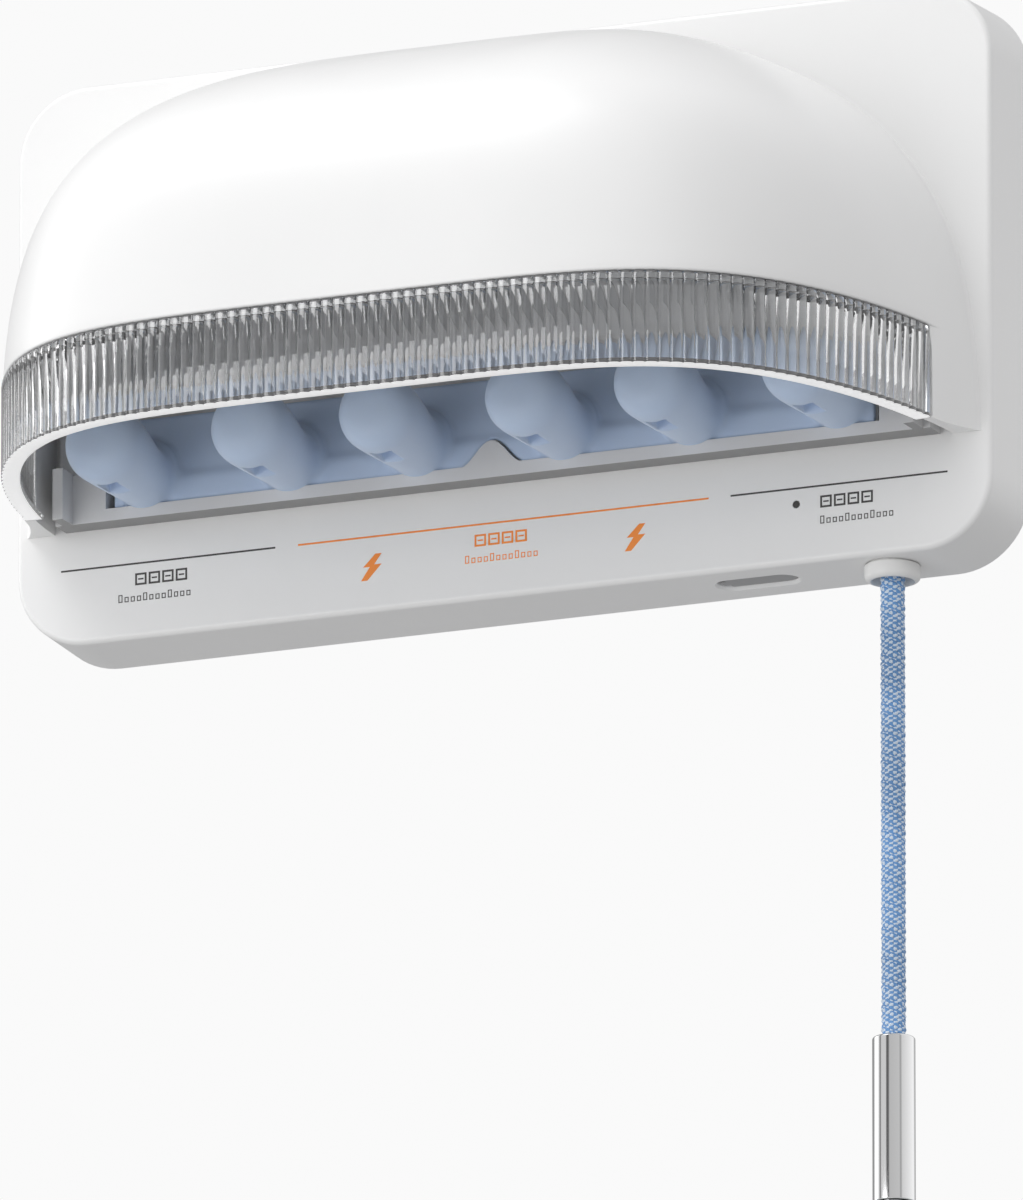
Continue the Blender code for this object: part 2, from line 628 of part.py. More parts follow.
def make_brush_holder():
    """Soft sheet in the tray's window with a row of round lobes; brushes hang between them."""
    sheet_back = TRAY_PANEL_FRONT - GAP
    bottom = WINDOW_BOTTOM + GAP
    notch = [(x, z) for x, z in bell(9.5, 7.0, bottom, GAP)]
    outline = [(SHEET_HALF_WIDTH, bottom), (SHEET_HALF_WIDTH, SHEET_TOP)]
    outline += [(-x, z) for x, z in reversed(outline)]
    outline += notch[::-1]
    holder = prism("brush_holder", [outline], SHEET_FRONT, sheet_back, BLUE)
    lobes = []
    cutters = []
    for number, x in enumerate(LOBE_PLACES, 1):
        rings = []
        for reach, radius, height in LOBE_PROFILE:
            ring = []
            for k in range(LOBE_STEPS):
                turn = 2 * math.pi * k / LOBE_STEPS
                place = (x + radius * math.cos(turn), SHEET_FRONT - reach)
                ring.append((*place, height + radius * math.sin(turn)))
            rings.append(ring)
        lobes.append(loft(f"lobe_{number}", rings, BLUE))
        middle = LOBE_TIP + 12.5
        low = (x - POCKET_WIDTH / 2, middle - POCKET_LENGTH / 2, LOBE_FLOOR - 3)
        high = (x + POCKET_WIDTH / 2, middle + POCKET_LENGTH / 2, LOBE_FLOOR + 3.2)
        cutters.append(box(f"pocket_{number}", low, high, BLUE))
    low = (-150, -150, LOBE_FLOOR - 9)
    high = (150, TRAY_FRONT + 1, LOBE_FLOOR)
    cutters.append(box("lobe_floor", low, high, BLUE))
    inner = [(x, z) for x in (SHEET_HALF_WIDTH, -SHEET_HALF_WIDTH) for z in (bottom, 20)]
    inner = [inner[0], inner[1], inner[3], inner[2]]
    outer = [(150, -80), (150, 40), (-150, 40), (-150, -80)]
    cutters.append(prism("sheet_surround", [outer, inner], TRAY_FRONT - GAP, 1, BLUE))
    holder = combine(holder, "UNION", lobes)
    combine(holder, "DIFFERENCE", cutters)


def make_uv_lamps():
    """Ultraviolet lamps behind a clear window in the plate, inside the hood."""
    low = (-52, PLATE_FRONT + 0.3, 2)
    high = (52, PLATE_INSIDE - 0.6, 12)
    box("uv_window", low, high, QUARTZ)
    front = PLATE_INSIDE + 1.2
    board = box("uv_board", (-62, front, 0), (62, front + 1.4, 14), BOARD_GREEN)
    holes = []
    for side, x in (("left", -UV_SCREW_X), ("right", UV_SCREW_X)):
        holes.append(hole(f"uv_board_hole_{side}", 1.3, (x, 0, 7), 40))
        screw(f"uv_screw_{side}", (x, front + 1.4 + GAP, 7), 2.0, 1.2, 0.8, 3.6)
    combine(board, "DIFFERENCE", holes)
    for name, x in (("left", -40.8), ("middle", 0.0), ("right", 40.8)):
        low = (x - 1.9, PLATE_INSIDE - 0.2, 5.1)
        high = (x + 1.9, front - GAP, 8.9)
        box(f"uv_lamp_{name}", low, high, LAMP)


def make_main_board():
    """Control board with its charging socket, port cover, status lamp and light pipe."""
    front = BOARD_BACK - BOARD_THICKNESS
    board = box("main_board", (22, front, -74.5), (102.2, BOARD_BACK, -40), BOARD_GREEN)
    holes = []
    for number, (x, z) in enumerate(BOARD_SCREWS, 1):
        holes.append(hole(f"board_hole_{number}", 1.6, (x, 0, z), 40))
        screw(f"board_screw_{number}", (x, BOARD_BACK + GAP, z), 2.6, 1.4, 1.1, 6.0)
    combine(board, "DIFFERENCE", holes)
    back = BOARD_BACK + GAP
    box("power_chip", (44, back, -66), (51, back + 1.2, -59), BLACK)
    box("battery_connector", (24, back, -60), (31, back + 4.5, -53), PALE_WIRE)
    low = (LAMP_X - 1.2, front - GAP - 1.2, LAMP_Z - 1.2)
    high = (LAMP_X + 1.2, front - GAP, LAMP_Z + 1.2)
    box("status_lamp", low, high, LAMP)
    pipe_end = front - GAP - 1.2 - GAP
    pipe = turned(
        "light_pipe",
        (
            (0, pipe_end - PLATE_FRONT),
            (1.2, pipe_end - PLATE_FRONT),
            (1.2, FRONT_WALL + 1.3),
            (2.0, FRONT_WALL + 1.3),
            (2.0, FRONT_WALL + GAP),
            (0.8, FRONT_WALL + GAP),
            (0.8, 0.1),
            (0, 0.1),
        )[::-1],
        (LAMP_X, PLATE_FRONT, LAMP_Z),
        QUARTZ,
        "-Y",
        12,
    )
    smooth_by_angle(pipe)
    middle = BOARD_BACK + 1.9
    bottom = -PLATE_HEIGHT / 2
    shell = [pill(9.0, 3.2, (PORT_X, middle))]
    socket = prism("usb_socket", shell, bottom + PORT_DEPTH + 0.2, bottom + 11.5, STEEL, "Z")
    mouth = [pill(8.2, 2.4, (PORT_X, middle))]
    combine(socket, "DIFFERENCE", [prism("socket_mouth", mouth, bottom, bottom + 9, BLACK, "Z")])
    flap = [pill(PORT_LENGTH - 0.8, PORT_WIDTH - 0.8, (PORT_X, PORT_Y))]
    cover = prism("port_cover", flap, bottom + GAP, bottom + PORT_DEPTH - 0.4 - GAP, RUBBER, "Z")
    hinge_x = PORT_X - PORT_LENGTH / 2 + 1.2
    spare = [box("hinge_end", (hinge_x - 2, PORT_Y - 5, bottom - 1), (hinge_x, PORT_Y + 5, bottom + 3), RUBBER)]
    for side in (-1, 1):
        middle = PORT_Y + side * (HINGE_TAB + 3)
        low = (hinge_x - 2, middle - 3, bottom - 1)
        spare.append(box(f"hinge_side_{side}", low, (hinge_x + 1.7, middle + 3, bottom + 3), RUBBER))
    cover = combine(cover, "DIFFERENCE", spare)
    barrel = ((0, HINGE_TAB), (0.5, HINGE_TAB), (0.5, -HINGE_TAB), (0, -HINGE_TAB))
    place = (hinge_x, PORT_Y, bottom + 0.8)
    combine(cover, "UNION", [turned("cover_barrel", barrel, place, RUBBER, "Y", 12)])


def make_battery():
    """Flat battery on foam tape, and the wires between the battery and the boards."""
    foam_front = PLATE_INSIDE + GAP
    box("battery_pad", (-118, foam_front, -54), (-88, foam_front + 0.8, -4), FOAM)
    front = foam_front + 0.8 + GAP
    box("battery", (-122, front, -58), (-84, front + 7.5, 0), FOIL, 1.0)
    middle = front + 4
    lead = [(-92, middle, -58.4), (-90, middle, -63), (-80, middle, -66), (-40, middle, -62)]
    lead += [(0, middle + 1, -59), (15, -13.6, -56.5), (23.6, -13.4, -56.5)]
    tube("battery_lead", smooth_line(lead, 26), 0.9, RED_WIRE)
    lead = [(34, BOARD_BACK - 0.8, -39.6), (34, -17.5, -36), (33, -18.4, -25), (30, -21.6, -8), (30, -22.0, -0.4)]
    tube("uv_lead", smooth_line(lead, 16), 0.7, PALE_WIRE)


def spring_coil():
    """Points down the middle of the return spring's wire."""
    bottom = GLAND_TOP + GAP + SPRING_WIRE
    top = PLUNGER_FLANGE - GAP - SPRING_WIRE
    points = []
    steps = SPRING_TURNS * SPRING_STEPS
    for k in range(steps + 1):
        angle = 2 * math.pi * k / SPRING_STEPS
        x = CORD_X + SPRING_RADIUS * math.cos(angle)
        y = CORD_Y + SPRING_RADIUS * math.sin(angle)
        points.append((x, y, bottom + (top - bottom) * k / steps))
    return points


def make_pull_switch():
    """Gland, spring, plunger and switch that the pull cord works."""
    centre = (CORD_X, CORD_Y, 0)
    flange_top = -PLATE_HEIGHT / 2 - 0.31 - GAP
    gland = turned(
        "cord_gland",
        (
            (GLAND_HOLE, GLAND_TOP),
            (GLAND_NECK, GLAND_TOP),
            (GLAND_NECK, flange_top),
            (GLAND_FLANGE, flange_top),
            (GLAND_FLANGE, GLAND_BOTTOM + 1.4),
            (GLAND_FLANGE - 0.5, GLAND_BOTTOM + 0.4),
            (GLAND_FLANGE - 1.4, GLAND_BOTTOM),
            (GLAND_HOLE, GLAND_BOTTOM),
        ),
        centre,
        WHITE,
        steps=32,
    )
    smooth_by_angle(gland)
    nut_bottom = -PLATE_HEIGHT / 2 + SIDE_WALL + GAP
    nut_inside = GLAND_NECK + GAP
    nut = ((nut_inside, nut_bottom + 2.4), (8.2, nut_bottom + 2.4), (8.2, nut_bottom), (nut_inside, nut_bottom))
    turned("gland_nut", nut, centre, STEEL, steps=24)
    tube("return_spring", spring_coil(), SPRING_WIRE, SPRING_STEEL)
    plunger = turned(
        "plunger",
        (
            (0, PLUNGER_TOP),
            (5.0, PLUNGER_TOP),
            (5.8, PLUNGER_TOP - 1),
            (3.4, PLUNGER_FLANGE + 1.7),
            (6.7, PLUNGER_FLANGE + 1.7),
            (6.7, PLUNGER_FLANGE),
            (0, PLUNGER_FLANGE),
        ),
        centre,
        TRAY_GREY,
    )
    smooth_by_angle(plunger)
    ferrule_top = PLUNGER_FLANGE - GAP
    stub_top = ferrule_top - 17.4
    ferrule = ((0, ferrule_top), (4.6, ferrule_top), (4.6, stub_top), (0, stub_top))
    smooth_by_angle(turned("cord_ferrule", ferrule, centre, STEEL))
    top = (CORD_X, CORD_Y, stub_top - GAP)
    bottom = (CORD_X, CORD_Y, SWING_HEIGHT + 1.3)
    tube("cord_stub", [top, bottom], CORD_RADIUS, BRAID, 3)
    box("switch_body", (91, BOARD_BACK + GAP, -50), (102.9, BOARD_BACK + 6.3, -40), BLACK, 0.4)
    strip = [(105.3, -54), (105.9, -54), (104.6, -43), (104.6, -39.5), (104.0, -39.5), (104.0, -43)]
    lever = prism("switch_lever", [strip], CORD_Y - 1.5, CORD_Y + 3.5, STEEL)
    roller = ((0, 2.5), (0.7, 2.5), (0.7, -2.5), (0, -2.5))
    nub = turned("lever_nub", roller, (106.05, CORD_Y + 1, -52), STEEL, "Y", 12)
    barrel = ((0, 2.5), (0.9, 2.5), (0.9, -2.5), (0, -2.5))
    hinge = turned("lever_barrel", barrel, (LEVER_X, CORD_Y + 1, LEVER_Z), STEEL, "Y", 12)
    combine(lever, "UNION", [nub, hinge])


def make_pull_cord():
    """The hanging cord and the metal handle on its end."""
    length = SWING_HEIGHT - (HANDLE_TOP + GAP)
    steps = 10
    points = [(CORD_X, CORD_Y, SWING_HEIGHT - length * k / steps) for k in range(steps + 1)]
    tube("pull_cord", points, CORD_RADIUS, BRAID, 3)
    cap_height = 5.0
    bottom = HANDLE_TOP - HANDLE_LENGTH
    handle = turned(
        "pull_handle",
        (
            (0, HANDLE_TOP),
            (HANDLE_RADIUS - 0.8, HANDLE_TOP),
            (HANDLE_RADIUS, HANDLE_TOP - 0.8),
            (HANDLE_RADIUS, bottom + 0.6 + GAP),
            (0, bottom + 0.6 + GAP),
        ),
        (CORD_X, CORD_Y, 0),
        STEEL,
        steps=28,
    )
    smooth_by_angle(handle)
    cap = ((0, bottom + 0.6), (HANDLE_RADIUS - 0.4, bottom + 0.6), (HANDLE_RADIUS - 0.9, bottom), (0, bottom))
    smooth_by_angle(turned("handle_cap", cap, (CORD_X, CORD_Y, 0), STEEL, steps=28))


make_wall_bracket()
make_rear_cover()
make_front_housing()
make_visor()
make_hood_liner()
make_tray()
make_brush_holder()
make_uv_lamps()
make_main_board()
make_battery()
make_pull_switch()
make_pull_cord()
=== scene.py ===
"""Visual model of the wall-mounted toothbrush sanitizer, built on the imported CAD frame.

Sizes and places below are in millimetres in the CAD frame; MM turns them into metres.
"""

import json
import math

import bmesh
import bpy
import numpy as np
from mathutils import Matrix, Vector


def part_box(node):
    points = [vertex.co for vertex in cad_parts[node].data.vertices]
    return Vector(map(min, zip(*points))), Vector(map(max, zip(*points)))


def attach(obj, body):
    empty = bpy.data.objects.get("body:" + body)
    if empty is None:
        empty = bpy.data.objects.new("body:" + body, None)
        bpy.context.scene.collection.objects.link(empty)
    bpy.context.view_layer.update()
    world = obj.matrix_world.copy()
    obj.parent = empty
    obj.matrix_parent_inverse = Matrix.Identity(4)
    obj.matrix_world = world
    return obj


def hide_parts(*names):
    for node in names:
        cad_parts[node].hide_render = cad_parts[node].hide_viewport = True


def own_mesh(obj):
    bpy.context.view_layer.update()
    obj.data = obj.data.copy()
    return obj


MM = 0.001
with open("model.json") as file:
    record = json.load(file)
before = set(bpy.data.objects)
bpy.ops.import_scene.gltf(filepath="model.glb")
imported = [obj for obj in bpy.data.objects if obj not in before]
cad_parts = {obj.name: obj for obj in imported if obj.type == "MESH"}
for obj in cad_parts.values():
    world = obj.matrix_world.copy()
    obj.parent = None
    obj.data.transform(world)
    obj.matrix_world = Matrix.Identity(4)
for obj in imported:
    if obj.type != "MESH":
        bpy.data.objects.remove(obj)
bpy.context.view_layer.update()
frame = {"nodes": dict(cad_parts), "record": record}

# The same shape numbers as the CAD source
PLATE_FRONT = -26.5
PLATE_BACK = -1.0
PLATE_HALF_WIDTH = 145.0
PLATE_HALF_HEIGHT = 79.4
PLATE_CORNER = 20.4
PLATE_EDGE = 1.6
PLATE_DRAFT = 0.8
HOOD_HALF_WIDTH = 136.5
HOOD_DEPTH = 108.7
HOOD_BOTTOM = -47.7
HOOD_TOP = 78.8
HOOD_WALL = 3.0
HOOD_WIDTH_POWER = 4.7
HOOD_DEPTH_POWER = 1.6
FOOT_FLARE = 5.0
FOOT_LENGTH = 16.0
VISOR_TOP = HOOD_BOTTOM + 26.0
VISOR_END = 17.5  # in front of the plate
VISOR_THICKNESS = 5.5
VISOR_WALL = 3.2  # between the lip above and the flange below
LIP_TOP = VISOR_TOP + 6.0
CORD_X = 111.0
CORD_Y = -15.5
CORD_TOP = -82.0
HANDLE_TOP = -212.5
PORT_X = 70.4
PORT_Y = -13.8
PORT_LENGTH = 23.2
PORT_WIDTH = 8.4
LAMP_X = 87.2
LAMP_Z = -62.7
WINDOW_Z = 7.0
SHEET_FRONT = -33.2
LOBE_PLACES = (-103.3, -59.8, -21.7, 21.7, 59.8, 103.3)
LOBE_FLOOR = -45.0


# ---------------------------------------------------------------- materials


def fill_ramp(node, stops):
    """Gives a colour ramp its (position, colour) stops, in rising order."""
    elements = node.color_ramp.elements
    elements.remove(elements[1])
    for number, (position, colour) in enumerate(stops):
        element = elements.new(position) if number else elements[0]
        element.position = position
        element.color = (*colour, 1)


def new_tree(name):
    """A material with a bare Principled shader, its node tree and the shader itself."""
    material = bpy.data.materials.new(name)
    material.use_nodes = True
    tree = material.node_tree
    return material, tree, tree.nodes["Principled BSDF"]


def surface(
    name, colour, roughness, metallic=0.0, tint=0.03, grain=0.3, depth=0.01, spread=0.06, **more
):
    """A plastic, rubber or metal with slight mottling, uneven gloss and a fine moulded grain.

    tint and spread are how much the colour and roughness vary, grain is the grain's size
    in millimetres and depth its height in millimetres. The rest are shader sockets, with
    underscores for spaces.
    """
    material, tree, shader = new_tree(name)
    add, link = tree.nodes.new, tree.links.new
    place = add("ShaderNodeTexCoord")
    broad = add("ShaderNodeTexNoise")
    broad.inputs["Scale"].default_value = 35.0
    broad.inputs["Detail"].default_value = 3.0
    link(place.outputs["Object"], broad.inputs["Vector"])
    shades = add("ShaderNodeValToRGB")
    dark = [c * (1 - tint) for c in colour]
    light = [min(1.0, c * (1 + tint)) for c in colour]
    fill_ramp(shades, ((0.3, dark), (0.7, light)))
    link(broad.outputs["Fac"], shades.inputs["Fac"])
    link(shades.outputs["Color"], shader.inputs["Base Color"])
    gloss = add("ShaderNodeMapRange")
    gloss.inputs["To Min"].default_value = max(0.02, roughness - spread)
    gloss.inputs["To Max"].default_value = min(1.0, roughness + spread)
    link(broad.outputs["Fac"], gloss.inputs["Value"])
    link(gloss.outputs["Result"], shader.inputs["Roughness"])
    fine = add("ShaderNodeTexNoise")
    fine.inputs["Scale"].default_value = 0.5 / (grain * MM)
    fine.inputs["Detail"].default_value = 2.0
    link(place.outputs["Object"], fine.inputs["Vector"])
    bump = add("ShaderNodeBump")
    bump.inputs["Strength"].default_value = 0.6
    bump.inputs["Distance"].default_value = depth * MM
    link(fine.outputs["Fac"], bump.inputs["Height"])
    link(bump.outputs["Normal"], shader.inputs["Normal"])
    shader.inputs["Metallic"].default_value = metallic
    for socket, value in more.items():
        shader.inputs[socket.replace("_", " ")].default_value = value
    return material


def clear(name, colour, roughness, index, **more):
    """A clear plastic or glass, slightly uneven in its gloss."""
    more |= {"Transmission_Weight": 1.0, "IOR": index}
    return surface(name, colour, roughness, tint=0.01, grain=6.0, depth=0.0002, spread=0.01, **more)


def brushed(name, colour, roughness, stretch):
    """A turned or drawn metal: fine lines across the stretch axis vary its roughness and bump."""
    material, tree, shader = new_tree(name)
    add, link = tree.nodes.new, tree.links.new
    place = add("ShaderNodeTexCoord")
    spread = add("ShaderNodeMapping")
    spread.inputs["Scale"].default_value = stretch
    link(place.outputs["Object"], spread.inputs["Vector"])
    lines = add("ShaderNodeTexNoise")
    lines.inputs["Scale"].default_value = 60.0
    lines.inputs["Detail"].default_value = 4.0
    link(spread.outputs["Vector"], lines.inputs["Vector"])
    shades = add("ShaderNodeValToRGB")
    fill_ramp(shades, ((0.0, [c * 0.95 for c in colour]), (1.0, colour)))
    link(lines.outputs["Fac"], shades.inputs["Fac"])
    link(shades.outputs["Color"], shader.inputs["Base Color"])
    gloss = add("ShaderNodeMapRange")
    gloss.inputs["To Min"].default_value = roughness * 0.8
    gloss.inputs["To Max"].default_value = roughness * 1.3
    link(lines.outputs["Fac"], gloss.inputs["Value"])
    link(gloss.outputs["Result"], shader.inputs["Roughness"])
    bump = add("ShaderNodeBump")
    bump.inputs["Strength"].default_value = 0.15
    bump.inputs["Distance"].default_value = 0.004 * MM
    link(lines.outputs["Fac"], bump.inputs["Height"])
    link(bump.outputs["Normal"], shader.inputs["Normal"])
    shader.inputs["Metallic"].default_value = 1.0
    return material


WHITE = surface("moulded_white", (0.86, 0.86, 0.855), 0.34, tint=0.006, grain=0.5, depth=0.004)
GLAND_WHITE = surface("gland_white", (0.84, 0.84, 0.83), 0.38, tint=0.01, grain=0.4, depth=0.005)
COVER_GREY = surface("cover_grey", (0.60, 0.61, 0.63), 0.55, tint=0.02, grain=0.5, depth=0.03)
TRAY_GREY = surface("tray_grey", (0.70, 0.70, 0.705), 0.45, tint=0.015, grain=0.4, depth=0.01)
# painted shade: the liner's mid grey stands for the shade inside the closed hood
LINER_PAINTED_SHADE = surface("liner_painted_shade", (0.50, 0.50, 0.505), 0.5, tint=0.03, grain=0.5, depth=0.02)
SILICONE = surface(
    "blue_silicone",
    (0.56, 0.68, 0.87),
    0.5,
    tint=0.015,
    grain=0.35,
    depth=0.006,
    Subsurface_Weight=0.06,
    Subsurface_Radius=(0.002, 0.003, 0.004),
    Sheen_Weight=0.15,
)
VISOR_CLEAR = clear(
    "visor_clear",
    (0.97, 0.975, 0.98),
    0.02,
    1.42,
    Coat_Weight=1.0,
    Coat_IOR=1.75,
    Coat_Roughness=0.03,
)
# painted glow: the visor's matte white lower edge emits light at strength 0.3, though it is no lamp
VISOR_EDGE_PAINTED_GLOW = surface(
    "visor_edge_painted_glow",
    (0.95, 0.95, 0.95),
    0.4,
    tint=0.01,
    grain=0.3,
    depth=0.004,
    Emission_Color=(1, 1, 1, 1),
    Emission_Strength=0.3,
)
# painted shade: dark grey on the visor's top faces under the hood's rim, standing for the shade in the
# gaps there
VISOR_TOP_PAINTED_SHADE = surface("visor_top_painted_shade", (0.16, 0.16, 0.165), 0.6, tint=0.03, grain=0.3, depth=0.004)
QUARTZ = surface(
    "frosted_quartz",
    (0.66, 0.67, 0.68),
    0.25,
    tint=0.02,
    grain=0.3,
    depth=0.002,
    Transmission_Weight=0.1,
)
LAMP_LENS = clear("lamp_lens", (0.90, 0.94, 0.98), 0.04, 1.46)
POLISHED = brushed("polished_handle", (0.93, 0.93, 0.935), 0.06, (1.0, 1.0, 0.04))
STEEL = brushed("stamped_steel", (0.62, 0.62, 0.63), 0.25, (1.0, 0.1, 1.0))
ZINC = surface("zinc_plate", (0.62, 0.61, 0.58), 0.3, metallic=1.0, tint=0.06, grain=0.3, depth=0.01)
SPRING = brushed("spring_wire", (0.50, 0.50, 0.51), 0.3, (0.1, 0.1, 1.0))
RUBBER = surface("cover_rubber", (0.36, 0.36, 0.365), 0.6, tint=0.03, grain=0.3, depth=0.02)
GASKET = surface("gasket_rubber", (0.10, 0.10, 0.10), 0.7, tint=0.05, grain=0.4, depth=0.03)
FOAM = surface("foam_tape", (0.22, 0.22, 0.23), 0.95, tint=0.2, grain=0.7, depth=0.15)
LAMP_BOARD = surface("pale_solder_mask", (0.70, 0.70, 0.68), 0.35, tint=0.04, grain=0.8, depth=0.02)
BOARD = surface("solder_mask", (0.02, 0.17, 0.07), 0.35, tint=0.15, grain=0.8, depth=0.02)
BLACK = surface("black_moulding", (0.02, 0.02, 0.021), 0.45, tint=0.05, grain=0.3, depth=0.02)
FOIL = surface("battery_foil", (0.55, 0.56, 0.58), 0.3, metallic=0.6, tint=0.05, grain=2.5, depth=0.08)
LAMP = surface("lamp_ceramic", (0.85, 0.80, 0.55), 0.4, tint=0.05, grain=0.4, depth=0.02)
RED_WIRE = surface("red_sleeve", (0.45, 0.03, 0.03), 0.45, tint=0.05, grain=0.5, depth=0.01)
PALE_WIRE = surface("pale_sleeve", (0.70, 0.70, 0.68), 0.45, tint=0.03, grain=0.5, depth=0.01)
YARN = {"grain": 0.12, "depth": 0.05, "Sheen_Weight": 0.4}
BLUE_YARN = surface("blue_yarn", (0.13, 0.31, 0.62), 0.6, tint=0.25, **YARN)
PALE_YARN = surface("pale_yarn", (0.66, 0.76, 0.88), 0.5, tint=0.12, **YARN)
BLACK_INK = surface("black_ink", (0.055, 0.052, 0.05), 0.5, tint=0.1, grain=0.3, depth=0.004)
ORANGE_INK = surface("orange_ink", (1.0, 0.29, 0.04), 0.5, tint=0.05, grain=0.3, depth=0.004)


def painted_shade_below(material, share):
    """Paints shade into a material's colour: darkens it to a share of itself where its surface faces
    down.
    """
    tree = material.node_tree
    add, link = tree.nodes.new, tree.links.new
    shader = tree.nodes["Principled BSDF"]
    colour = shader.inputs["Base Color"].links[0].from_socket
    facing = add("ShaderNodeSeparateXYZ")
    link(add("ShaderNodeNewGeometry").outputs["Normal"], facing.inputs["Vector"])
    amount = add("ShaderNodeMapRange")
    amount.inputs["From Min"].default_value = -0.9
    amount.inputs["From Max"].default_value = -0.3
    amount.inputs["To Min"].default_value = share
    link(facing.outputs["Z"], amount.inputs["Value"])
    mixed = add("ShaderNodeVectorMath")
    mixed.operation = "SCALE"
    link(colour, mixed.inputs[0])
    link(amount.outputs["Result"], mixed.inputs["Scale"])
    link(mixed.outputs["Vector"], shader.inputs["Base Color"])


# painted shade: the tray's down-facing faces get 0.4 of its colour, as if in shadow
painted_shade_below(TRAY_GREY, 0.4)

SLOT_LOOKS = {
    "white_abs": GLAND_WHITE,
    "cover_abs": COVER_GREY,
    "clear_acrylic": VISOR_CLEAR,
    "tray_abs": TRAY_GREY,
    "liner_abs": LINER_PAINTED_SHADE,
    "blue_silicone": SILICONE,
    "polished_steel": STEEL,
    "zinc_screw": ZINC,
    "spring_steel": SPRING,
    "cord_braid": BLUE_YARN,
    "circuit_board": BOARD,
    "black_plastic": BLACK,
    "battery_foil": FOIL,
    "lamp_package": LAMP,
    "quartz_window": QUARTZ,
    "foam_tape": FOAM,
    "grey_rubber": RUBBER,
    "red_wire": RED_WIRE,
    "pale_wire": PALE_WIRE,
}
for part in frame["record"]["subparts"]:
    node = frame["nodes"][part["node"]]
    for place in node.material_slots:
        place.material = SLOT_LOOKS[part["material_slot"]]
for node, look in (("rear_gasket", GASKET), ("light_pipe", LAMP_LENS), ("uv_board", LAMP_BOARD)):
    for place in frame["nodes"][node].material_slots:
        place.material = look


# ---------------------------------------------------------------- mesh tools


def add_piece(name, shape, material, body, angle, node=None):
    """Makes an object of a bmesh in millimetres and lets it ride on a body, if it has one.

    Edges sharper than angle, in degrees, are shaded sharp. node is the CAD node it replaces.
    """
    bmesh.ops.recalc_face_normals(shape, faces=shape.faces)
    bmesh.ops.scale(shape, vec=(MM, MM, MM), verts=shape.verts)
    mesh = bpy.data.meshes.new(name)
    shape.to_mesh(mesh)
    shape.free()
    mesh.materials.append(material)
    mesh.shade_smooth()
    if angle < 180:
        mesh.set_sharp_from_angle(angle=math.radians(angle))
    piece = bpy.data.objects.new(name, mesh)
    bpy.context.scene.collection.objects.link(piece)
    if body:
        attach(piece, body)
    if node:
        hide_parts(node)
    return piece


def skin(shape, rings, caps=True, close=True):
    """Faces through rings of equally many points; each ring is closed if close is set."""
    rows = [[shape.verts.new(p) for p in ring] for ring in rings]
    count = len(rows[0])
    for lower, upper in zip(rows, rows[1:]):
        for i in range(count if close else count - 1):
            j = (i + 1) % count
            shape.faces.new((lower[i], lower[j], upper[j], upper[i]))
    if caps:
        shape.faces.new(rows[0])
        shape.faces.new(rows[-1])
    return rows


def turned(shape, profile, centre, steps, axis="Z"):
    """A closed profile of (radius, height) points turned about Z, or about Y (heights to -Y)."""
    cx, cy, cz = centre
    rows = []
    for radius, height in profile:
        row = []
        for k in range(steps):
            turn = 2 * math.pi * k / steps
            u, v = radius * math.cos(turn), radius * math.sin(turn)
            if axis == "Z":
                row.append((cx + u, cy + v, cz + height))
            else:
                row.append((cx + u, cy - height, cz + v))
        rows.append(row)
    skin(shape, rows)


def ring_turned(shape, profile, centre, steps):
    """A closed loop of (radius, height) points turned about Z into a ring with a hole."""
    cx, cy, cz = centre
    turns = [2 * math.pi * k / steps for k in range(steps)]
    rows = []
    for r, height in [*profile, profile[0]]:
        rows.append([(cx + r * math.cos(t), cy + r * math.sin(t), cz + height) for t in turns])
    skin(shape, rows, caps=False)
    bmesh.ops.remove_doubles(shape, verts=shape.verts, dist=1e-5)


def block(shape, low, high, round_by=0.0):
    """A box between two corners, with its edges rounded if round_by is set."""
    verts = bmesh.ops.create_cube(shape, size=1.0)["verts"]
    size = Vector(high) - Vector(low)
    bmesh.ops.scale(shape, vec=size, verts=verts)
    bmesh.ops.translate(shape, vec=(Vector(high) + Vector(low)) / 2, verts=verts)
    if round_by:
        edges = list({e for v in verts for e in v.link_edges})
        bmesh.ops.bevel(
            shape, geom=edges, offset=round_by, segments=2, profile=0.5, affect="EDGES"
        )


def rounded_rectangle(half_width, half_height, radius, steps):
    """A rectangle about the origin with round corners of steps pieces each."""
    points = []
    for sx, sz, turn in ((1, 1, 0), (-1, 1, 90), (-1, -1, 180), (1, -1, 270)):
        for k in range(steps + 1):
            angle = math.radians(turn + 90 * k / steps)
            x = sx * (half_width - radius) + radius * math.cos(angle)
            z = sz * (half_height - radius) + radius * math.sin(angle)
            points.append((x, z))
    return points


def plate_outline(grow, steps=16):
    """The plate's front outline, grown by some millimetres all round."""
    sizes = (PLATE_HALF_WIDTH, PLATE_HALF_HEIGHT, PLATE_CORNER)
    return rounded_rectangle(*[size + grow for size in sizes], steps)


def pill(length, width, centre):
    """A slot outline with round ends along X."""
    cx, cy = centre
    outline = rounded_rectangle(length / 2, width / 2, width / 2 - 0.01, 12)
    return [(cx + x, cy + y) for x, y in outline]


def bake(piece):
    """Turns a piece's modifiers into mesh."""
    view = bpy.context.evaluated_depsgraph_get()
    mesh = bpy.data.meshes.new_from_object(piece.evaluated_get(view))
    piece.modifiers.clear()
    piece.data = mesh


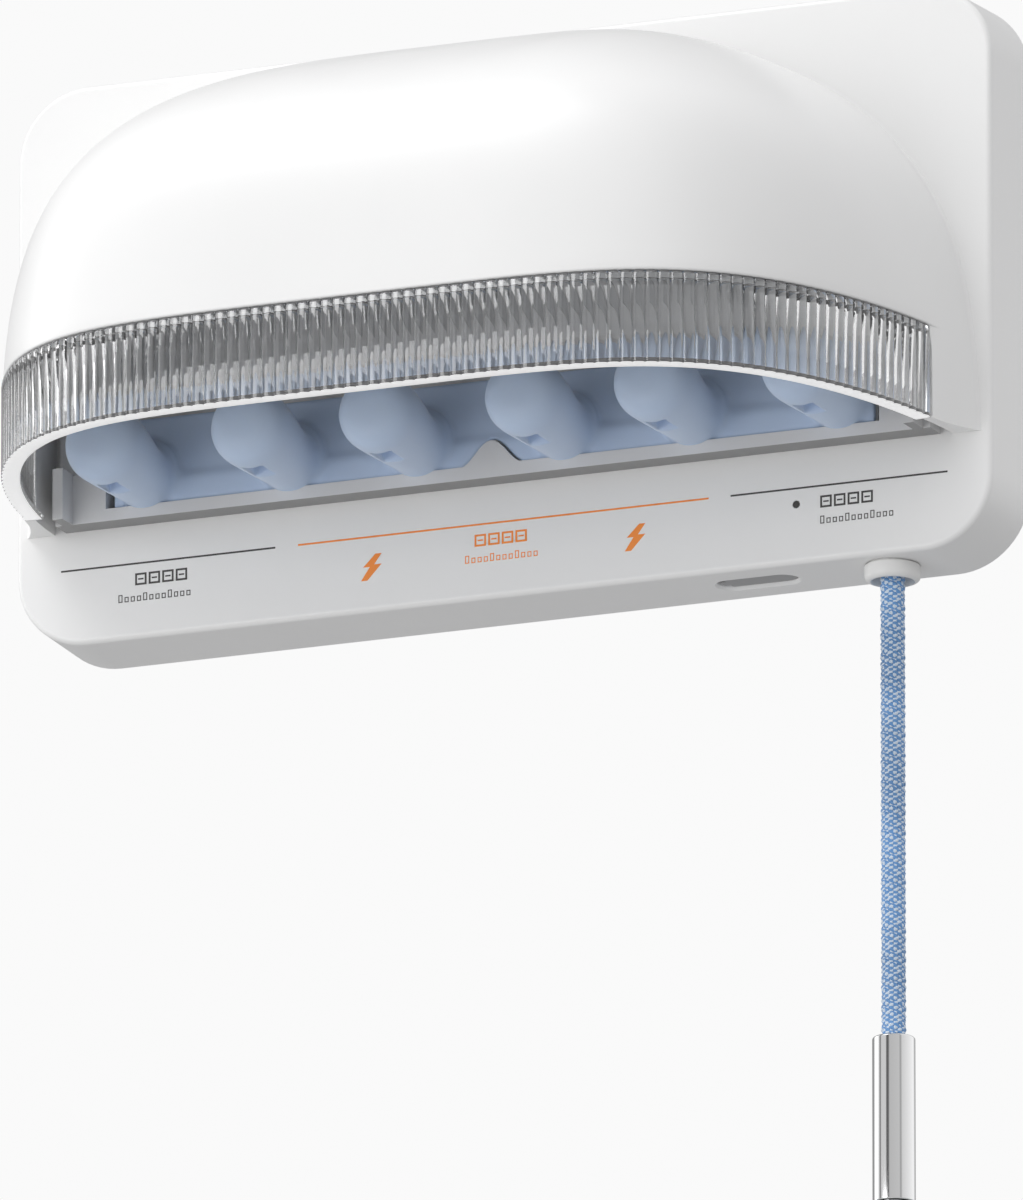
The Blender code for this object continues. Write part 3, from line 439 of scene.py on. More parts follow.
def cut(piece, tools):
    """Cuts a piece with bmesh tools in millimetres, one after another, and bakes the result."""
    for number, shape in enumerate(tools):
        tool = add_piece(f"{piece.name}_tool_{number}", shape, WHITE, None, 180)
        step = piece.modifiers.new("cut", "BOOLEAN")
        step.operation = "DIFFERENCE"
        step.solver = "EXACT"
        step.object = tool
        bpy.context.view_layer.update()
        bake(piece)
        bpy.data.objects.remove(tool, do_unlink=True)


def prism_tool(outline, low, high, along="Y"):
    """A straight bmesh cutter: outline (x, z) along Y or (x, y) along Z."""
    shape = bmesh.new()
    if along == "Y":
        rings = [[(x, level, z) for x, z in outline] for level in (low, high)]
    else:
        rings = [[(x, y, level) for x, y in outline] for level in (low, high)]
    skin(shape, rings)
    return shape


def shade_evenly(piece):
    """Lets large flat faces decide the shading next to them."""
    even = piece.modifiers.new("even_shading", "WEIGHTED_NORMAL")
    even.keep_sharp = True


def soften(piece, width):
    """A small bevel on a piece's sharp edges."""
    bevel = piece.modifiers.new("soft_edges", "BEVEL")
    bevel.width = width * MM
    bevel.segments = 2
    bevel.limit_method = "ANGLE"
    bevel.angle_limit = math.radians(30)
    bevel.harden_normals = False
    shade_evenly(piece)


def shade_again(piece, angle):
    """Smooth shading with sharp edges above an angle, after cuts have changed the mesh."""
    piece.data.shade_smooth()
    piece.data.set_sharp_from_angle(angle=math.radians(angle))


# ---------------------------------------------------------------- camera and light

AZIMUTH = math.radians(23.4)
BELOW = math.radians(15.12)
DISTANCE = 12.0  # metres
SENSOR = 36.0
FRAME_HEIGHT = 0.3279  # metres of the object's plane that the frame's height takes in
AIM_RIGHT = 0.00255  # metres from the plate's middle to the frame's middle
AIM_DOWN = 0.0775
TO_CAMERA = Vector(
    (math.sin(AZIMUTH) * math.cos(BELOW), -math.cos(AZIMUTH) * math.cos(BELOW), -math.sin(BELOW))
)
CAMERA_RIGHT = Vector((math.cos(AZIMUTH), math.sin(AZIMUTH), 0))
CAMERA_UP = CAMERA_RIGHT.cross(-TO_CAMERA)
aim = Vector((0, PLATE_FRONT * MM, 0)) + CAMERA_RIGHT * AIM_RIGHT - CAMERA_UP * AIM_DOWN
camera_data = bpy.data.cameras.new("camera")
camera_data.sensor_width = SENSOR
camera_data.lens = SENSOR * DISTANCE / FRAME_HEIGHT
camera_data.clip_start = 1.0
camera_data.clip_end = 60.0
camera = bpy.data.objects.new("camera", camera_data)
camera.location = aim + TO_CAMERA * DISTANCE
camera.rotation_euler = (-TO_CAMERA).to_track_quat("-Z", "Y").to_euler()
bpy.context.scene.collection.objects.link(camera)
bpy.context.scene.camera = camera
bpy.context.scene.view_settings.view_transform = "Standard"


def soft_light(name, place, target, width, height, power):
    """A rectangular studio light aimed at a point."""
    data = bpy.data.lights.new(name, "AREA")
    data.shape = "RECTANGLE"
    data.size = width
    data.size_y = height
    data.energy = power
    lamp = bpy.data.objects.new(name, data)
    lamp.location = place
    lamp.rotation_euler = (Vector(target) - Vector(place)).to_track_quat("-Z", "Y").to_euler()
    bpy.context.scene.collection.objects.link(lamp)


soft_light("key_light", (-1.05, -1.6, 2.7), (0, -0.05, 0), 2.0, 2.0, 38.0)
soft_light("front_fill", (-0.9, -2.0, -0.35), (0, -0.05, -0.05), 1.4, 1.4, 14.5)
soft_light("left_rim", (-1.6, -0.1, 0.0), (0, -0.05, 0), 0.5, 1.5, 3.0)

# What the world shows: an even backdrop to the camera and through clear pieces, a soft
# gradient from below to above as the light all round, and panels to reflections
BACKDROP = 0.955
SKY_SHADES = ((0.25, (0.24, 0.24, 0.245)), (0.5, (0.66, 0.66, 0.665)), (0.75, (0.86, 0.86, 0.87)))
PANEL_LIGHT = (  # degrees from +X towards +Y, brightness
    (-180, 0.95),
    (-156, 0.95),
    (-151, 0.22),
    (-144, 0.22),
    (-140, 0.62),
    (-112, 0.62),
    (-107, 0.10),
    (-97, 0.14),
    (-91, 0.50),
    (-38, 0.56),
    (-33, 0.36),
    (-28, 0.40),
    (-22, 0.66),
    (62, 0.98),
    (80, 0.45),
    (112, 0.30),
    (158, 0.30),
    (166, 0.95),
)
world = bpy.data.worlds.new("studio")
bpy.context.scene.world = world
world.use_nodes = True
sky = world.node_tree
sky_add, sky_link = sky.nodes.new, sky.links.new
backdrop = sky.nodes["Background"]
backdrop.inputs["Color"].default_value = (*[BACKDROP] * 3, 1)
ambient = sky_add("ShaderNodeBackground")
direction = sky_add("ShaderNodeTexCoord")
heights = sky_add("ShaderNodeSeparateXYZ")
sky_link(direction.outputs["Generated"], heights.inputs["Vector"])
height_ramp = sky_add("ShaderNodeValToRGB")
fill_ramp(height_ramp, SKY_SHADES)
to_share = sky_add("ShaderNodeMapRange")
to_share.inputs["From Min"].default_value = -1.0
sky_link(heights.outputs["Z"], to_share.inputs["Value"])
sky_link(to_share.outputs["Result"], height_ramp.inputs["Fac"])
sky_link(height_ramp.outputs["Color"], ambient.inputs["Color"])
ray = sky_add("ShaderNodeLightPath")
choose = sky_add("ShaderNodeMixShader")
seen = sky_add("ShaderNodeMath")
seen.operation = "MAXIMUM"
sky_link(ray.outputs["Is Camera Ray"], seen.inputs[0])
sky_link(ray.outputs["Is Transmission Ray"], seen.inputs[1])
sky_link(seen.outputs["Value"], choose.inputs["Fac"])
sky_link(ambient.outputs["Background"], choose.inputs[1])
sky_link(backdrop.outputs["Background"], choose.inputs[2])

# Upright panels of light and dark all round, seen only as reflections in shiny pieces
turn = sky_add("ShaderNodeMath")
turn.operation = "ARCTAN2"
sky_link(heights.outputs["Y"], turn.inputs[0])
sky_link(heights.outputs["X"], turn.inputs[1])
round_share = sky_add("ShaderNodeMapRange")
round_share.inputs["From Min"].default_value = -math.pi
round_share.inputs["From Max"].default_value = math.pi
sky_link(turn.outputs["Value"], round_share.inputs["Value"])
panels = sky_add("ShaderNodeValToRGB")
fill_ramp(panels, [((degrees + 180) / 360, [value] * 3) for degrees, value in PANEL_LIGHT])
sky_link(round_share.outputs["Result"], panels.inputs["Fac"])
mirrored = sky_add("ShaderNodeBackground")
sky_link(panels.outputs["Color"], mirrored.inputs["Color"])
shiny = sky_add("ShaderNodeMixShader")
sky_link(ray.outputs["Is Glossy Ray"], shiny.inputs["Fac"])
sky_link(choose.outputs["Shader"], shiny.inputs[1])
sky_link(mirrored.outputs["Background"], shiny.inputs[2])
sky_link(shiny.outputs["Shader"], sky.nodes["World Output"].inputs["Surface"])

# A pale floor well below the object; from underneath it is see-through
floor_look, floor_tree, floor_shader = new_tree("floor_paint")
floor_shader.inputs["Base Color"].default_value = (0.45, 0.45, 0.45, 1)
floor_shader.inputs["Roughness"].default_value = 0.8
side = floor_tree.nodes.new("ShaderNodeNewGeometry")
unseen = floor_tree.nodes.new("ShaderNodeBsdfTransparent")
either = floor_tree.nodes.new("ShaderNodeMixShader")
floor_tree.links.new(side.outputs["Backfacing"], either.inputs["Fac"])
floor_tree.links.new(floor_shader.outputs["BSDF"], either.inputs[1])
floor_tree.links.new(unseen.outputs["BSDF"], either.inputs[2])
floor_output = floor_tree.nodes["Material Output"]
floor_tree.links.new(either.outputs["Shader"], floor_output.inputs["Surface"])
FLOOR_HALF_WIDTH = 12.0
FLOOR_DEPTH = 1.9
quarters = ((-1, -1), (1, -1), (1, 1), (-1, 1))
floor_corners = [(x * FLOOR_HALF_WIDTH, y * FLOOR_HALF_WIDTH, 0) for x, y in quarters]
floor_mesh = bpy.data.meshes.new("floor")
floor_mesh.from_pydata(floor_corners, [], [(0, 1, 2, 3)])
floor_mesh.materials.append(floor_look)
floor = bpy.data.objects.new("floor", floor_mesh)
floor.location = (0, 0, -FLOOR_DEPTH)
bpy.context.scene.collection.objects.link(floor)


# ---------------------------------------------------------------- pull cord


CORE_RADIUS = 2.75
YARNS = 8  # each way round
YARN_PITCH = 11.0
YARN_REACH = 2.93  # from the cord's middle to a yarn's
YARN_WAVE = 0.17  # in and out of that as the yarns cross
YARN_HALF_HEIGHT = 0.42
YARN_HALF_WIDTH = 0.62
YARN_CORNERS = 6
YARN_STEP = 0.62


def yarn_ring(top, level, way, number):
    """A yarn's six-sided section at a level; way is 1 or -1, for how it winds."""
    wound = 2 * math.pi * (top - level) / YARN_PITCH
    turn = way * wound + 2 * math.pi * number / YARNS
    over = math.cos(YARNS * wound + way * 0.5 * math.pi + math.pi * number)
    reach = YARN_REACH + YARN_WAVE * over
    outward = Vector((math.cos(turn), math.sin(turn), 0))
    slope = way * 2 * math.pi * reach / YARN_PITCH
    along = Vector((-outward.y * slope, outward.x * slope, -1)).normalized()
    across = along.cross(outward)
    middle = Vector((CORD_X, CORD_Y, level)) + outward * reach
    ring = []
    for corner in range(YARN_CORNERS):
        a = 2 * math.pi * corner / YARN_CORNERS
        up, side = YARN_HALF_HEIGHT * math.cos(a), YARN_HALF_WIDTH * math.sin(a)
        ring.append(middle + outward * up + across * side)
    return ring


def braid(name, top, bottom, body, node):
    """A braided cord down from top: a core with two crossed sets of yarns woven over it."""
    shape = bmesh.new()
    core = [(CORE_RADIUS, level) for level in np.linspace(top, bottom, 3)]
    turned(shape, core, (CORD_X, CORD_Y, 0), 20)
    levels = np.linspace(top, bottom, max(4, int((top - bottom) / YARN_STEP)))
    for way in (1, -1):
        pale_from = len(shape.faces)  # in the end, where the second way's yarns start
        for number in range(YARNS):
            skin(shape, [yarn_ring(top, level, way, number) for level in levels])
    cord = add_piece(name, shape, BLUE_YARN, body, 180, node)
    cord.data.materials.append(PALE_YARN)
    for face in cord.data.polygons:
        face.material_index = int(face.index >= pale_from)
    return cord


CORD_END = HANDLE_TOP + 0.3
braided_cord = braid("braided_cord", CORD_TOP, CORD_END, "cord", "pull_cord")
stub_low, stub_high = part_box("cord_stub")
braid("braided_stub", stub_high.z / MM, stub_low.z / MM, "puller", "cord_stub")

HANDLE_EDGE = 0.62  # radius of the handle's upper edge
HANDLE_RADIUS = 5.25 + HANDLE_EDGE
handle_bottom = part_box("pull_handle")[0].z / MM
shape = bmesh.new()
profile = [(3.5, HANDLE_TOP - 1.5), (3.6, HANDLE_TOP), (5.15, HANDLE_TOP)]
for k in range(1, 6):
    turn = math.radians(90 - 18 * k)
    radius = HANDLE_RADIUS - HANDLE_EDGE * (1 - math.cos(turn))
    profile.append((radius, HANDLE_TOP - HANDLE_EDGE * (1 - math.sin(turn))))
profile += [(HANDLE_RADIUS, handle_bottom + 0.25), (HANDLE_RADIUS - 0.17, handle_bottom)]
turned(shape, profile, (CORD_X, CORD_Y, 0), 96)
handle = add_piece("metal_handle", shape, POLISHED, "cord", 30, "pull_handle")
cap_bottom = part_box("handle_cap")[0].z / MM
cap_profile = ((5.3, 0.6), (5.45, 0.4), (5.2, 0.1), (4.9, 0.0), (4.0, 0.02), (3.8, 0.2))
shape = bmesh.new()
turned(shape, cap_profile, (CORD_X, CORD_Y, cap_bottom), 96)
cap = add_piece("handle_end_cap", shape, POLISHED, "cord", 30, "handle_cap")

GLAND_HOLE = 5.95
GLAND_NECK = 6.9
FLANGE_TOP = -80.0
FLANGE_EDGE = 1.55  # radius of the flange's lower edge
gland_low, gland_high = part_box("cord_gland")
gland_bottom, gland_top = gland_low.z / MM, gland_high.z / MM
shape = bmesh.new()
profile = [(GLAND_HOLE, gland_top), (GLAND_NECK, gland_top), (GLAND_NECK, FLANGE_TOP)]
profile += [(7.55, FLANGE_TOP), (7.7, FLANGE_TOP - 0.25), (7.68, FLANGE_TOP - 2.6)]
for k in range(1, 7):
    turn = math.radians(-15 * k)
    level = gland_bottom + FLANGE_EDGE * (1 + math.sin(turn))
    profile.append((6.1 + FLANGE_EDGE * math.cos(turn), level))
profile += [(6.15, gland_bottom + 0.05), (GLAND_HOLE, gland_bottom + 0.3)]
ring_turned(shape, profile, (CORD_X, CORD_Y, 0), 96)
add_piece("cord_outlet", shape, GLAND_WHITE, "housing", 40, "cord_gland")


# ---------------------------------------------------------------- plate and hood


def make_plate():
    """The shallow back plate: rounded front edge, drafted sides, recess, holes and open back."""
    shape = bmesh.new()
    rings = []
    steps = 6
    for k in range(steps + 1):
        turn = math.radians(90 * k / steps)
        grow = -PLATE_EDGE * (1 - math.sin(turn))
        y = PLATE_FRONT + PLATE_EDGE * (1 - math.cos(turn))
        rings.append([(x, y, z) for x, z in plate_outline(grow)])
    rings.append([(x, PLATE_BACK - 0.5, z) for x, z in plate_outline(PLATE_DRAFT)])
    rings.append([(x, PLATE_BACK, z) for x, z in plate_outline(PLATE_DRAFT - 0.4)])
    skin(shape, rings)
    plate = add_piece("plate_shell", shape, WHITE, "housing", 30, "front_housing")
    bottom = -PLATE_HALF_HEIGHT
    recess = bmesh.new()
    rings = []
    for grow, depth in ((3.0, -2.6), (0.6, -0.18), (0.2, 0.12), (0, 0.5), (0, 1.9)):
        outline = pill(PORT_LENGTH + 2 * grow, PORT_WIDTH + 2 * grow, (PORT_X, PORT_Y))
        rings.append([(x, y, bottom + depth) for x, y in outline])
    skin(recess, rings)
    gland = bmesh.new()
    turned(gland, [(7.2, -90.0), (7.2, -70.0)], (CORD_X, CORD_Y, 0), 48)
    lamp = bmesh.new()
    turned(lamp, [(1.1, 3.0), (1.1, -8.0)], (LAMP_X, PLATE_FRONT, LAMP_Z), 32, "Y")
    window = [(x, z + WINDOW_Z) for x, z in rounded_rectangle(52.3, 5.3, 1.0, 4)]
    tools = [
        prism_tool(plate_outline(-4.2, 8), PLATE_FRONT + 2.5, 1),
        prism_tool(plate_outline(PLATE_DRAFT - 2.4, 8), -5.1, 1),
        recess,
        gland,
        lamp,
        prism_tool(window, PLATE_FRONT - 2, PLATE_FRONT + 5),
        prism_tool(pill(9.6, 3.8, (PORT_X, -14.1)), bottom - 3, bottom + 8, "Z"),
    ]
    cut(plate, tools)
    shade_again(plate, 30)
    shade_evenly(plate)


def hood_size(height):
    """The hood's half width and depth at a height."""
    rise = min(max((height - HOOD_BOTTOM) / (HOOD_TOP - HOOD_BOTTOM), 0.0), 1.0)
    return HOOD_HALF_WIDTH * math.sqrt(1 - rise**3.1), HOOD_DEPTH * (1 - rise**6) ** 1.25


def foot_spread(out, rise):
    """How far the hood's side spreads near the plate: a soft sweep and a tight fillet."""
    sweep = FOOT_FLARE * (1 - rise) ** 1.5 * max(0.0, 1 - out / FOOT_LENGTH) ** 2
    radius = 0.9
    fillet = radius - math.sqrt(radius**2 - (radius - out) ** 2) if 0 <= out < radius else 0.0
    return sweep + fillet


def hood_point(angle, height, inset=0.0):
    """A point of the hood's side wall at a plan angle, 0 at the right foot and pi at the left."""
    half_width, depth = hood_size(height)
    half_width = max(half_width - inset, 0.4)
    depth = max(depth - inset, 0.01)
    cosine, sine = math.cos(angle), max(math.sin(angle), 0.0)
    x = math.copysign(half_width * abs(cosine) ** (2 / HOOD_WIDTH_POWER), cosine)
    out = depth * sine ** (2 / HOOD_DEPTH_POWER)
    return x, out


def length_along(line):
    """How far along a line of points each one is."""
    return np.concatenate([[0], np.cumsum(np.linalg.norm(np.diff(line, axis=0), axis=1))])


# Columns of the hood's foot, by their distance in front of the plate
FOOT_COLUMNS = (0, 0.2, 0.5, 0.9, 1.3, 1.9, 2.8, 4.0, 5.8, 8.0, 11.0, 14.5, VISOR_END)


def hood_angles(spacing):
    """Plan angles, close together by the plate and evenly spaced along the rest."""
    first = [math.asin((out / HOOD_DEPTH) ** (HOOD_DEPTH_POWER / 2)) for out in FOOT_COLUMNS]
    fine = np.linspace(first[-1], math.pi / 2, 4000)
    along = length_along([hood_point(a, HOOD_BOTTOM) for a in fine])
    count = int(along[-1] / spacing)
    rest = np.interp(np.linspace(0, along[-1], count + 1), along, fine)[1:]
    half = [*first, *rest]
    return half + [math.pi - a for a in half[-2::-1]]


def make_hood():
    """The domed hood, 3 mm thick, open below; its front edge sits above the visor."""
    angles = hood_angles(2.4)
    low_rows = [HOOD_BOTTOM, HOOD_BOTTOM + 0.4, HOOD_BOTTOM + 6, HOOD_BOTTOM + 13, VISOR_TOP - 6]
    edge_rows = [VISOR_TOP, VISOR_TOP + 0.12, VISOR_TOP + 0.35, VISOR_TOP + 0.8]
    edge_insets = (0.55, 0.25, 0.07, 0.0)
    shares = np.linspace(0, 1, 62)[1:]
    span = HOOD_TOP - edge_rows[-1]
    high_rows = [edge_rows[-1] + span * (1 - (1 - s) ** 1.9) * 0.9995 for s in shares]
    heights = [*low_rows, *edge_rows, *high_rows]
    first_full = len(low_rows)
    insets = [*[0.0] * first_full, *edge_insets, *[0.0] * len(high_rows)]
    foot = len(FOOT_COLUMNS) - 1
    last = len(angles) - 1
    shape = bmesh.new()
    outer, inner = {}, {}
    for row, height in enumerate(heights):
        rise = (height - HOOD_BOTTOM) / (HOOD_TOP - HOOD_BOTTOM)
        above = max(0.0, (height - edge_rows[-1]) / span)
        for column, angle in enumerate(angles):
            in_foot = column < foot or column > last - foot
            x, out = hood_point(angle, height, 0.0 if in_foot else insets[row])
            spread = foot_spread(out, rise)
            y = PLATE_FRONT - out + (0.4 if out < 0.01 else 0.0)
            outer[row, column] = shape.verts.new((x + math.copysign(spread, x), y, height))
            x, out = hood_point(angle, height, HOOD_WALL)
            y = PLATE_FRONT - out + (1.0 if out < 0.5 else 0.0)
            inner[row, column] = shape.verts.new((x, y, height - HOOD_WALL * above**2))
    faces = []
    for row in range(len(heights) - 1):
        for column in range(last):
            in_foot = column < foot or column >= last - foot
            if row >= first_full or in_foot:
                faces.append((row, column))
    sides = {}
    for row, column in faces:
        corners = [(row, column), (row, column + 1), (row + 1, column + 1), (row + 1, column)]
        shape.faces.new([outer[c] for c in corners])
        shape.faces.new([inner[c] for c in reversed(corners)])
        for a, b in zip(corners, [*corners[1:], corners[0]]):
            key = frozenset((a, b))
            sides[key] = None if key in sides else (a, b)
    for pair in sides.values():
        if pair:
            a, b = pair
            shape.faces.new((outer[b], outer[a], inner[a], inner[b]))
    loose = [v for v in shape.verts if not v.link_faces]
    bmesh.ops.delete(shape, geom=loose, context="VERTS")
    add_piece("hood_shell", shape, WHITE, "housing", 50)


def make_liner():
    """The grey skin just inside the hood, closed at its lower rim; its grey is painted shade, set to
    the shaded look of the inside.
    """
    shape = bmesh.new()
    angles = hood_angles(4.0)
    bottom = LIP_TOP + 0.4
    rings = []
    for inset in (HOOD_WALL + 1.7, HOOD_WALL + 2.9):
        top = HOOD_TOP - inset - 0.4
        shares = np.linspace(0, 1, 34)
        if inset > HOOD_WALL + 2:
            shares = shares[::-1]
        for share in shares:
            height = bottom + (top - bottom) * (1 - (1 - share) ** 1.9)
            stretch = (HOOD_TOP - HOOD_BOTTOM) / (HOOD_TOP - inset - HOOD_BOTTOM)
            scaled = HOOD_BOTTOM + (height - HOOD_BOTTOM) * stretch
            row = []
            for angle in angles:
                x, out = hood_point(angle, scaled, inset)
                row.append((x, PLATE_FRONT - max(out, 0.35), height))
            rings.append(row)
    rows = skin(shape, [*rings, rings[0]], caps=False, close=False)
    shape.faces.new([row[0] for row in rows])
    shape.faces.new([row[-1] for row in rows])
    bmesh.ops.remove_doubles(shape, verts=shape.verts, dist=1e-4)
    add_piece("hood_inner_skin", shape, LINER_PAINTED_SHADE, "housing", 40, "hood_liner")


RIBS = 108
RIB_DEPTH = 0.8
RIB_STEPS = 10


def make_visor():
    """Clear band with upright half-round ribs outside, a smooth inside and a lip on top."""
    fine = np.linspace(0, math.pi, 8001)
    line = np.array([hood_point(a, HOOD_BOTTOM) for a in fine])
    line[:, 1] *= -1
    keep = line[:, 1] < -VISOR_END - 0.3
    line = line[keep]
    along = length_along(line)
    at = np.linspace(0, along[-1], RIBS * RIB_STEPS + 1)
    points = np.stack([np.interp(at, along, line[:, k]) for k in (0, 1)], axis=1)
    tangent = np.gradient(points, axis=0)
    tangent /= np.linalg.norm(tangent, axis=1)[:, None]
    outward = np.stack([-tangent[:, 1], tangent[:, 0]], axis=1)
    if outward[len(outward) // 2][1] > 0:
        outward = -outward
    shape = bmesh.new()
    top = VISOR_TOP - 0.3
    sections = []
    for i, (p, n) in enumerate(zip(points, outward)):
        phase = (i % RIB_STEPS) / RIB_STEPS
        bulge = math.sqrt(max(0.0, 1 - (2 * phase - 1) ** 2))
        rib = RIB_DEPTH * (bulge - 1)
        profile = (
            (rib - 0.45, HOOD_BOTTOM),
            (rib - 0.12, HOOD_BOTTOM + 0.12),
            (rib, HOOD_BOTTOM + 0.45),
            (rib, HOOD_BOTTOM + 13),
            (rib, top - 0.5),
            (rib - 0.4, top),
            (-HOOD_WALL - 0.8, top),
            (-HOOD_WALL - 0.8, LIP_TOP - 0.2),
            (-HOOD_WALL - 1.1, LIP_TOP),
            (-VISOR_THICKNESS + 0.2, LIP_TOP),
            (-VISOR_THICKNESS, LIP_TOP - 0.2),
            (-VISOR_THICKNESS, top - 1.5),
            (-VISOR_WALL - 0.3, top - 1.8),
            (-VISOR_WALL, top - 2.1),
            (-VISOR_WALL, HOOD_BOTTOM + 2.0),
            (-VISOR_WALL - 0.3, HOOD_BOTTOM + 1.7),
            (-VISOR_THICKNESS + 0.2, HOOD_BOTTOM + 1.5),
            (-VISOR_THICKNESS, HOOD_BOTTOM + 1.3),
            (-VISOR_THICKNESS, HOOD_BOTTOM + 0.4),
            (-VISOR_THICKNESS + 0.4, HOOD_BOTTOM),
        )
        section = []
        for offset, height in profile:
            x, y = p + n * offset
            section.append((x, PLATE_FRONT + y, height))
        sections.append(section)
    skin(shape, sections)
    visor = add_piece("ribbed_visor", shape, VISOR_CLEAR, "housing", 50, "visor")
    visor.data.materials.append(VISOR_EDGE_PAINTED_GLOW)
    visor.data.materials.append(VISOR_TOP_PAINTED_SHADE)
    for face in visor.data.polygons:
        # the lower edge's down-facing faces get the matte white with its painted glow
        if face.normal.z < -0.7 and face.center.z < (HOOD_BOTTOM + 0.1) * MM:
            face.material_index = 1
        # top faces under the hood's rim get the painted-shade dark grey
        elif face.normal.z > 0.5 and face.center.z < (VISOR_TOP + 0.5) * MM:
            face.material_index = 2


make_plate()
make_hood()
make_liner()
make_visor()


# ---------------------------------------------------------------- brush holder


SHEET_HALF_WIDTH = 113.0
SHEET_BOTTOM = -43.7
SHEET_COLUMNS = 227
SHEET_ROWS = 26
NOTCH_HALF_WIDTH = 9.8  # the notch over the tray's tab, in the middle of the lower edge
NOTCH_HEIGHT = 7.3
SCOOP_DEPTH = 1.1
SCOOP_BOTTOM = -37.6
SCOOP_RISE = 3.5
POCKET_MIDDLE = SHEET_FRONT - 22.3
POCKET_WIDTH = 6.0
POCKET_LENGTH = 9.5
POCKET_DEPTH = 4.2
# How far out from the sheet each ring of a lobe is, its radius and its centre's height
LOBE_RINGS = (
    (-0.6, 9.9, -35.2),
    (0.5, 9.9, -35.2),
    (1.0, 9.6, -35.4),
    (1.6, 9.0, -35.8),
    (3.0, 8.7, -36.2),
    (6.0, 8.8, -36.1),
    (10.0, 9.2, -35.8),
    (14.0, 9.8, -35.2),
    (18.0, 10.4, -34.6),
    (21.5, 10.8, -34.2),
    (24.5, 11.1, -33.9),
    (27.0, 11.2, -33.8),
    (29.0, 11.1, -33.8),
    (30.8, 10.6, -33.8),
    (32.2, 9.8, -33.8),
    (33.4, 8.5, -33.8),
    (34.2, 6.9, -33.8),
    (34.7, 5.0, -33.8),
    (34.85, 2.5, -33.8),
)


def make_sheet(shape):
    """The sheet that the lobes stand on, with a shallow scoop above and a notch below."""
    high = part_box("brush_holder")[1]
    top, back = high.z / MM, high.y / MM
    grid = {}
    for i, x in enumerate(np.linspace(-SHEET_HALF_WIDTH, SHEET_HALF_WIDTH, SHEET_COLUMNS)):
        foot = SHEET_BOTTOM
        if abs(x) < NOTCH_HALF_WIDTH:
            foot += NOTCH_HEIGHT * math.cos(math.pi * x / NOTCH_HALF_WIDTH / 2) ** 2
        for j in range(SHEET_ROWS):
            z = foot + (top - foot) * j / (SHEET_ROWS - 1)
            rise = min(max((z - SCOOP_BOTTOM) / SCOOP_RISE, 0.0), 1.0)
            y = SHEET_FRONT + SCOOP_DEPTH * rise * rise * (3 - 2 * rise)
            grid[i, j] = shape.verts.new((x, y, z)), shape.verts.new((x, back, z))
    edges = []
    for i in range(SHEET_COLUMNS - 1):
        for j in range(SHEET_ROWS - 1):
            corners = [(i, j), (i + 1, j), (i + 1, j + 1), (i, j + 1)]
            shape.faces.new([grid[c][0] for c in corners])
            shape.faces.new([grid[c][1] for c in reversed(corners)])
    for i in range(SHEET_COLUMNS - 1):
        edges += [((i, j), (i + 1, j)) for j in (0, SHEET_ROWS - 1)]
    for j in range(SHEET_ROWS - 1):
        edges += [((i, j), (i, j + 1)) for i in (0, SHEET_COLUMNS - 1)]
    for start, end in edges:
        a, b = grid[start], grid[end]
        shape.faces.new((a[0], a[1], b[1], b[0]))


def make_holder():
    """One soft moulding: the sheet and six round-headed lobes, with a pocket under each."""
    shape = bmesh.new()
    make_sheet(shape)
    for place in LOBE_PLACES:
        rings = []
        for reach, radius, height in LOBE_RINGS:
            ring = []
            for k in range(48):
                turn = 2 * math.pi * k / 48
                x, z = radius * math.cos(turn), height + radius * math.sin(turn)
                ring.append((place + x, SHEET_FRONT - reach, max(z, LOBE_FLOOR)))
            rings.append(ring)
        skin(shape, rings)
    holder = add_piece(
        "silicone_holder", shape, SILICONE, "holder", 180, "brush_holder"
    )
    remesh = holder.modifiers.new("one_skin", "REMESH")
    remesh.mode = "VOXEL"
    remesh.voxel_size = 0.62 * MM
    bake(holder)
    pockets = bmesh.new()
    for place in LOBE_PLACES:
        near, far = POCKET_MIDDLE - POCKET_LENGTH / 2, POCKET_MIDDLE + POCKET_LENGTH / 2
        low = (place - POCKET_WIDTH / 2, near, LOBE_FLOOR - 4)
        high = (place + POCKET_WIDTH / 2, far, LOBE_FLOOR + POCKET_DEPTH)
        block(pockets, low, high, 0.6)
    cut(holder, [pockets])
    smooth = holder.modifiers.new("soft", "SMOOTH")
    smooth.factor = 0.5
    smooth.iterations = 4
    bake(holder)
    holder.data.shade_smooth()


make_holder()


# ---------------------------------------------------------------- printed marks


PRINT_BACK = PLATE_FRONT + 0.02
PRINT_FRONT = PLATE_FRONT - 0.05
LINE_Z = -58.2
LINE_THICKNESS = 0.5


def mark(name, outlines, material):
    """A flat print on the plate's front face, from closed (x, z) outlines."""
    shape = bmesh.new()
    for points in outlines:
        skin(shape, [[(x, y, z) for x, z in points] for y in (PRINT_BACK, PRINT_FRONT)])
    add_piece(name, shape, material, "housing", 30)


def bar(left, right, z, thickness):
    """A level bar's outline around the height z."""
    half = thickness / 2
    return [(left, z - half), (right, z - half), (right, z + half), (left, z + half)]


mark("left_line", [bar(-131.7, -67.6, LINE_Z, LINE_THICKNESS)], BLACK_INK)
mark("middle_line", [bar(-60.8, 61.3, LINE_Z, LINE_THICKNESS)], ORANGE_INK)
mark("right_line", [bar(67.8, 131.9, LINE_Z, LINE_THICKNESS)], BLACK_INK)


